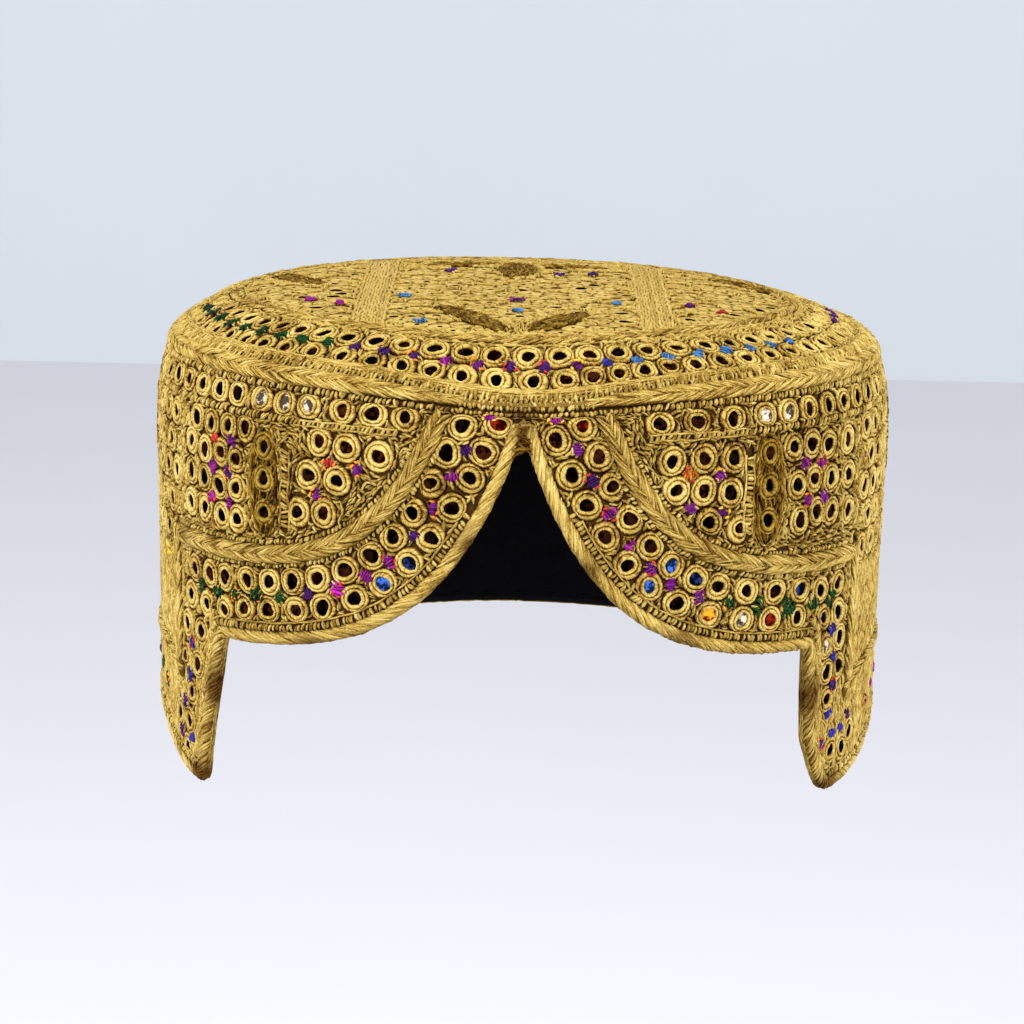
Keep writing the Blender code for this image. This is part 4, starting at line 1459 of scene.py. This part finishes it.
def build_wall_braids():
    piece = Piece("wall_braid_stitches", on_wall, "gold_braid", gold)
    for sign in (-1, 1):
        width = TOP_BRAID[1] - TOP_BRAID[0] + 0.5
        braid(piece, top_braid_line(sign), width, pitch=0.8, length=8.5, thick=0.40, narrow=top_braid_share)
        raised = panel_line(sign, PANEL_BRAID_TOP)
        braid(piece, raised, PANEL_BRAID_WIDTH, pitch=0.82, length=7.4, top=1.8, thick=0.46)
        braid(piece, side_line(sign), SIDE_BRAID_WIDTH, length=7.5, top=1.35, thick=0.42)
        braid(piece, back_line(sign), SIDE_BRAID_WIDTH, length=6.5, top=1.15, thick=0.42)
        braid(piece, flap_front(sign), FLAP_BRAID_WIDTH, length=5.5, top=0.7, thick=0.44)
        for depth, height in SHOULDER_LADDERS:
            ladder(piece, level(depth, sign=sign), 1.5, pitch=1.25, height=height)
    piece.build()


def build_binding():
    """Long shallow wraps round the whole lower edge, the lining's hem, and a tack in the notch."""
    piece = Piece("binding_wraps", on_wall, "gold_braid", gold)
    travel, across, height, girth, light = BINDING_WRAP
    past = np.array([PAST_SEAM, 0.0])
    track = Track(np.concatenate([[edge[0] - past], edge, [edge[-1] + past]]), 0.5)
    length = track.length - PAST_SEAM
    count = int(length / WRAP_PITCH)
    along = (np.arange(count) + 0.5) * length / count + rng.normal(0, 0.25, count)
    on_flap = -track.spots(along, 0.0)[:, 1:] > FLAP_START
    lean = (1 + shake(count, 0.05)) * np.where(on_flap, 0.55, 1.0)
    flat = track.spots(along[:, None] + travel * lean, across + rng.normal(0, 0.05, (count, len(across))))
    paths = lifted(flat, height + shake(count, 0.04))
    half = 0.50 * vary(count, 0.7, 1.2) * girth
    sweep(piece, paths, half, half * 0.6, crest=light * vary(count, 0.75, 1.0))
    edge_track = Track(edge, 0.5)
    along = np.arange(0.0, edge_track.length, 1.4)
    for across, out in EDGE_CORDS:
        cord(piece, edge_track.spots(along, across), half=0.34, out=out, crest=0.82)
    piece.build()
    build_hem(edge_track)
    piece = Piece("notch_tack", on_wall, "aged_thread", brown)
    for depth in np.arange(*NOTCH_TACK, 0.5):
        wide = 1.3 + 0.22 * (depth - NOTCH_TACK[0])
        tilt = rng.normal(0, 1.0)
        shares = np.array([-1.0, -0.35, 0.35, 1.0])
        line = np.stack([wide * shares, -depth + tilt * shares], axis=1)
        high = rng.uniform(0.2, 0.9)
        cord(piece, line, half=0.42, out=high, step=0.9, wobble=0.12, crest=rng.uniform(0.4, 0.9))
    piece.build()


def build_hem(track):
    """The lining's turned hem, which covers the inside of the edge, and the tape over its top seam."""
    piece = Piece("lining_hem", on_wall, "black_lining", lining)
    along = np.linspace(-0.4, track.length + 0.4, 300)
    across, out = np.transpose(HEM_SECTION)
    sides = len(HEM_SECTION)
    ring = np.arange(sides)
    caps = [ring[::-1], (len(along) - 1) * sides + ring]
    spots = lifted(track.spots(along[:, None], across), out)
    piece.add(spots[None], tube_quads(len(along), sides), caps, 0.0, 1.0)
    piece.build()
    tape = Piece("lining_seam_tape", on_wall, "black_lining", lining)
    for depth, out in SEAM_TAPE:
        line = wall_spot(np.linspace(-180.4, 180.4, 240), depth)
        cord(tape, line, half=1.8, out=out, step=3.0, wobble=0.0)
    tape.build()


# Silk between the border's rows, columns: distance along the edge, dye, second dye
BORDER_SILK = {
    -1: (
        (10.8, "violet", None), (18.8, "magenta", None), (28.7, "purple", "orange"),
        (38.1, "violet", None), (48.8, "magenta", "red"), (60.0, "magenta", None),
        (70.4, "magenta", "red"), (80.3, "violet", None), (89.8, "green", None),
        (98.4, "green", "orange"), (107.2, "green", "orange"),
    ),
    1: (
        (9.6, "purple", None), (18.8, "violet", "red"), (28.7, "magenta", "red"),
        (39.4, "magenta", None), (49.0, "purple", "red"), (59.8, "purple", None),
        (70.0, "purple", "magenta"), (80.0, "green", "orange"), (90.4, "green", None),
        (100.7, "green", None),
    ),
}
# Dyes of the silk in the back border, each for five clusters
BACK_DYES = ("blue", "violet", "magenta", "purple", "green", "magenta")
# Silk elsewhere on the wall, columns: angle, depth, dye, second dye
WALL_SILK = (
    (-4.9, 6.4, "magenta", "yellow"), (4.7, 7.0, "magenta", "yellow"),
    (-29.0, 21.0, "red", "orange"), (-24.4, 21.9, "purple", "orange"), (-31.2, 28.9, "purple", "orange"),
    (-52.9, 20.2, "red", None), (-48.4, 20.0, "purple", "magenta"), (-53.4, 27.6, "magenta", "violet"),
    (-49.3, 27.9, "violet", "orange"), (-53.6, 35.1, "magenta", "red"), (-49.1, 35.3, "magenta", None),
    (24.9, 21.3, "orange", "red"), (29.9, 22.0, "purple", "yellow"), (25.1, 29.6, "purple", None),
    (30.6, 31.0, "purple", "yellow"), (46.6, 21.9, "magenta", None), (50.6, 22.4, "magenta", "red"),
    (47.5, 31.2, "magenta", "orange"), (51.6, 31.3, "purple", None),
    (-52.1, 58.6, "green", None), (-57.1, 58.6, "green", None), (-47.5, 58.2, "green", "orange"),
    (44.3, 58.1, "green", None), (50.2, 57.9, "green", None), (55.2, 57.9, "green", None),
    (-60.5, 74.8, "blue", "red"), (-61.6, 83.2, "blue", None), (-63.6, 90.8, "violet", None),
    (-65.0, 99.3, "violet", None), (-60.8, 99.6, "blue", None),
    (56.2, 66.3, "blue", "violet"), (57.0, 73.5, "blue", None), (57.2, 80.8, "violet", "red"),
    (56.2, 88.0, "blue", None), (60.7, 93.0, "blue", None), (63.0, 90.5, "violet", None),
    (57.8, 93.4, "blue", None), (54.3, 95.2, "violet", "red"), (-71.0, 54.5, "yellow", None),
    (-66.6, 47.6, "green", None),
)


def build_wall_silk():
    piece = Piece("wall_silk", on_wall, "silk_accent", silk_look)
    rows = []
    for sign, table in BORDER_SILK.items():
        for along, *dyes in table:
            inset = (row_inset("outer", along) + row_inset("inner", along)) / 2
            rows.append((border_spot(sign, along, inset), *dyes))
    rows += [(wall_spot(angle, depth), *dyes) for angle, depth, *dyes in WALL_SILK]
    middle = inset_line(edge, sum(BACK_BORDER_INSETS) / 2)
    for number, spot in enumerate(resample(middle, BACK_BORDER_PITCH)):
        if abs(spot[0]) > wall_spot(BACK_SILK_START, 0)[0]:
            name = BACK_DYES[number // 5 % len(BACK_DYES)]
            rows.append((spot, name, "orange" if number % 3 == 0 else None))
    silk(piece, rows)
    piece.build()


def polar_line(radius):
    return crown_spot(np.linspace(-180.0, 180.0, 200), radius)


def inner_braid_line(shift=0.0):
    angles = np.linspace(-180, 180, 240)
    return crown_spot(angles, inner_braid_radius(angles) + shift)


def row_spots(radius, angles):
    """Places in a row, which sits a little nearer the rim on the left than on the right."""
    return crown_spot(angles, radius - CROWN_ROW_LEAN * np.sin(np.radians(angles)))


def crown_row_angles(row):
    """Angles of one row's rings: charted in front, evenly spaced round the rest."""
    front = CROWN_ROW_FRONTS[row]
    rest = 360 - (front[-1] - front[0])
    count = int(round(rest / CROWN_ROW_PITCH[row]))
    return np.append(front, front[-1] + np.arange(1, count) * rest / count)


# Silk between the crown's rows, columns: first angle, last angle, dye, second dye
CROWN_ROW_SILK = (
    (-80, -32, "green", None), (-32, -24, "violet", None), (-24, -18, "violet", "orange"),
    (-18, -13, "magenta", None), (-13, -6, "purple", "orange"), (-6, 4, "violet", "red"),
    (4, 9, "purple", "yellow"), (9, 14, "violet", "orange"), (14, 17, "blue", None),
    (17, 55, "sky", None), (80, 96, "violet", None), (150, 200, "magenta", None),
    (-180, -150, "magenta", None),
)
# Silk in the crown's field, columns: right, back, dye, second dye
CROWN_FIELD_SILK = (
    (-46.5, -33.2, "magenta", "yellow"), (-54.0, -27.0, "magenta", None), (-30.7, -19.0, "sky", None),
    (-25.7, -57.5, "sky", None), (-2.0, -24.0, "violet", "magenta"), (-2.0, -41.0, "sky", None),
    (23.0, -25.0, "sky", None), (9.0, 26.0, "violet", None), (18.0, 28.0, "violet", None),
    (41.6, -24.8, "violet", "orange"), (49.4, -31.9, "red", None), (-20.0, 30.0, "violet", None),
)


def crown_field_spots():
    """Places of the field's small rings, in staggered rows that aren't quite even."""
    pitch, far = CROWN_FIELD_PITCH, CROWN_FIELD_REACH
    grid = np.array([
        (right + (number % 2) * pitch / 2, back)
        for number, back in enumerate(np.arange(-far, far, pitch * 0.9))
        for right in np.arange(-far, far, pitch)
    ])
    grid = grid + rng.uniform(-CROWN_FIELD_JITTER, CROWN_FIELD_JITTER, grid.shape)
    return grid[(braid_room(grid) > 0) & (crown_clearance(grid) > CROWN_FIELD_ROOM)]


def braid_room(spots):
    """Plain distance from each spot of the crown out to the inner braid."""
    return inner_braid_radius(front_angle(spots)) - np.hypot(spots[:, 0], spots[:, 1])


def build_crown():
    piece = Piece("crown_rings", on_crown, "embroidered_cloth", gold)
    band = np.concatenate([
        row_spots(radius, crown_row_angles(row))
        for row, radius in enumerate(CROWN_ROWS)
    ])
    reach = ring_reach(band, band, crown_clearance, longest=4.2, shortest=2.3)
    holes = np.minimum(rng.uniform(1.35, 1.7, len(band)), reach.min(1) - 0.9)
    rings(piece, band, reach, holes, RING_PROFILE)
    piece.build()
    piece = Piece("crown_field_rings", on_crown, "embroidered_cloth", pale_gold)
    field = crown_field_spots()
    field_reach = ring_reach(field, field, crown_clearance, longest=3.7, shortest=2.0)
    field_holes = rng.choice(list(FIELD_HOLES), len(field), p=list(FIELD_HOLES.values()))
    field_holes = np.minimum(field_holes, field_reach.min(1) - 0.9)
    rings(piece, field, field_reach, field_holes, SMALL_RING_PROFILE)
    piece.build()
    glass = Piece("crown_mirrors", on_crown, "mirror", mirror_look)
    discs(glass, band, holes + 0.3, glass_of(band), out=0.4)
    discs(glass, field, field_holes + 0.2, glass_of(field), out=0.12)
    glass.build()
    build_crown_stitches(np.concatenate([band, field]), np.concatenate([reach, field_reach]))
    build_crown_silk()


def build_crown_stitches(spots, reach):
    """The braid, cords, stripes, seed stitches and leaf patches of the crown."""
    piece = Piece("crown_stitches", on_crown, "gold_braid", gold)
    width = CROWN_INNER_BRAID["width"] + 0.4
    braid(piece, inner_braid_line(), width, pitch=0.85, length=6.5, top=0.75, thick=0.36)
    for shift in (-2.3, 2.3):
        cord(piece, inner_braid_line(shift), half=0.3, out=0.3)
    for radius, out in RIM_CORDS:
        cord(piece, polar_line(radius), half=0.34, out=out, wobble=0.1)
    piece.build()
    build_stripes()
    piece = Piece("crown_seed_stitches", on_crown, "embroidered_cloth", pale_gold)
    far = crown_arc(CROWN_RIM_BAND[0])
    low, high = (-far, -far), (far, far)
    loose, ways = free_spots(low, high, CROWN_SEED_PITCH, spots, reach, crown_clearance)
    seeds(piece, loose, ways, 1.25, low=-0.10, thick=(0.34, 0.50), light=(0.78, 1.0))
    piece.build()
    patches = Piece("crown_leaf_stitches", on_crown, "aged_thread", leaf_tan)
    for line, width in crown_leaf_lines():
        length = np.linalg.norm(line[1] - line[0])
        leaf(patches, line.mean(0), unit(line[1] - line[0]), length, width, 0.0)
    patch = patches.build()
    for number in range(1, len(CROWN_LEAVES) + 1):
        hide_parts("crown_leaf_%d" % number)
    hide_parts("crown_bud")


def build_stripes():
    """Two flat stripes of long satin cords across the crown's field."""
    piece = Piece("crown_stripe_stitches", on_crown, "gold_braid", stripe_gold)
    half = CROWN_STRIPE_WIDTH / 2
    back = np.linspace(-CROWN_FIELD_REACH, CROWN_FIELD_REACH, 70)
    for right in CROWN_STRIPES:
        for aside in np.linspace(-half, half, CROWN_STRIPE_CORDS):
            line = np.stack([np.full(len(back), right + aside), back], axis=1)
            line = line[braid_room(line) > 2.2]
            high = rng.uniform(0.0, 0.1) if abs(aside) < half - 0.1 else 0.3
            cord(piece, line, half=0.5, out=high, wobble=0.18, crest=rng.uniform(0.84, 1.0))
    piece.build()


def build_crown_silk():
    piece = Piece("crown_silk", on_crown, "silk_accent", silk_look)
    angles = crown_row_angles(0)
    rows = []
    for angle, following in zip(angles, np.append(angles[1:], angles[0] + 360)):
        turned = ((angle + following) / 2 + 180) % 360 - 180
        rows += [
            (row_spots(sum(CROWN_ROWS) / 2, turned), *dyes)
            for start, end, *dyes in CROWN_ROW_SILK if start <= turned < end
        ]
    rows += [((right, back), *dyes) for right, back, *dyes in CROWN_FIELD_SILK]
    silk(piece, rows, size=1.35)
    piece.build()


def solid_look(name):
    """The material of a solid that stays in view under the stitches."""
    looks = {"crown_top": crown_ground, "side_wall": ground, "crown_lining": lining, "wall_lining": lining}
    core = core_brown if "leaf" in name or "bud" in name else core_gold
    return looks.get(name, core)


def dress_solids():
    for name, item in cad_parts.items():
        item.data.materials.clear()
        item.data.materials.append(solid_look(name))


# Stage, light and camera

CAMERA_PLACE = (-2.25, -900.0, 125.5)
CAMERA_PITCH = 11.427
CAMERA_ROLL = 1.257
CAMERA_LENS = 122.53
FLOOR_HEIGHT = -430.0
FLOOR_NEAR = -6000.0
FLOOR_COLOUR = (0.76, 0.76, 0.815)
BACK_WALL = 2560.0
BACK_WALL_TOP = 7000.0
BACK_WALL_COLOUR = (0.70, 0.755, 0.815)
STAGE_HALF_WIDTH = 9000.0

# Lights, columns: name, place, target, size in metres, power in watts
LIGHTS = (
    ("key", (-700, -1100, 1100), (0, 0, -30), 0.9, 27.5),
    ("fill", (1100, -900, 500), (0, 0, -30), 1.2, 9),
    ("top", (0, 500, 1500), (0, 0, 0), 1.0, 4),
    ("right_side", (1400, -350, 150), (0, 0, -60), 1.0, 9),
    ("left_side", (-1400, -350, 150), (0, 0, -60), 1.0, 6),
)


def add_plane(name, near, far, colour):
    """A wide plane from a near edge to a far one, each a distance back and a height."""
    wide = STAGE_HALF_WIDTH
    corners = np.array([(-wide, *near), (wide, *near), (wide, *far), (-wide, *far)]) * MM
    mesh = bpy.data.meshes.new(name)
    mesh.from_pydata(corners.tolist(), [], [(0, 1, 2, 3)])
    mesh.materials.append(stage_material(name, colour))
    link(name, mesh)


def build_stage():
    corner = (BACK_WALL, FLOOR_HEIGHT)
    add_plane("floor", (FLOOR_NEAR, FLOOR_HEIGHT), corner, FLOOR_COLOUR)
    add_plane("back_wall", corner, (BACK_WALL, BACK_WALL_TOP), BACK_WALL_COLOUR)


def build_light():
    for name, place_mm, target_mm, size, power in LIGHTS:
        data = bpy.data.lights.new(name, "AREA")
        data.shape = "DISK"
        data.size = size
        data.energy = power
        item = link(name, data)
        item.location = Vector(place_mm) * MM
        way = Vector(target_mm) - Vector(place_mm)
        item.rotation_euler = way.to_track_quat("-Z", "Y").to_euler()
    world = bpy.data.worlds.new("studio")
    world.use_nodes = True
    background = world.node_tree.nodes["Background"]
    background.inputs["Color"].default_value = (1.0, 0.99, 0.97, 1.0)
    background.inputs["Strength"].default_value = 0.75
    bpy.context.scene.world = world


def build_camera():
    data = bpy.data.cameras.new("camera")
    data.lens = CAMERA_LENS
    data.sensor_width = 36.0
    data.clip_end = 50.0
    item = link("camera", data)
    pitch = Matrix.Rotation(math.radians(90 - CAMERA_PITCH), 4, "X")
    roll = Matrix.Rotation(math.radians(CAMERA_ROLL), 4, "Z")
    item.matrix_world = Matrix.Translation(Vector(CAMERA_PLACE) * MM) @ pitch @ roll
    bpy.context.scene.camera = item
    bpy.context.scene.view_settings.view_transform = "Standard"


dress_solids()
build_wall()
build_crown()
build_stage()
build_light()
build_camera()
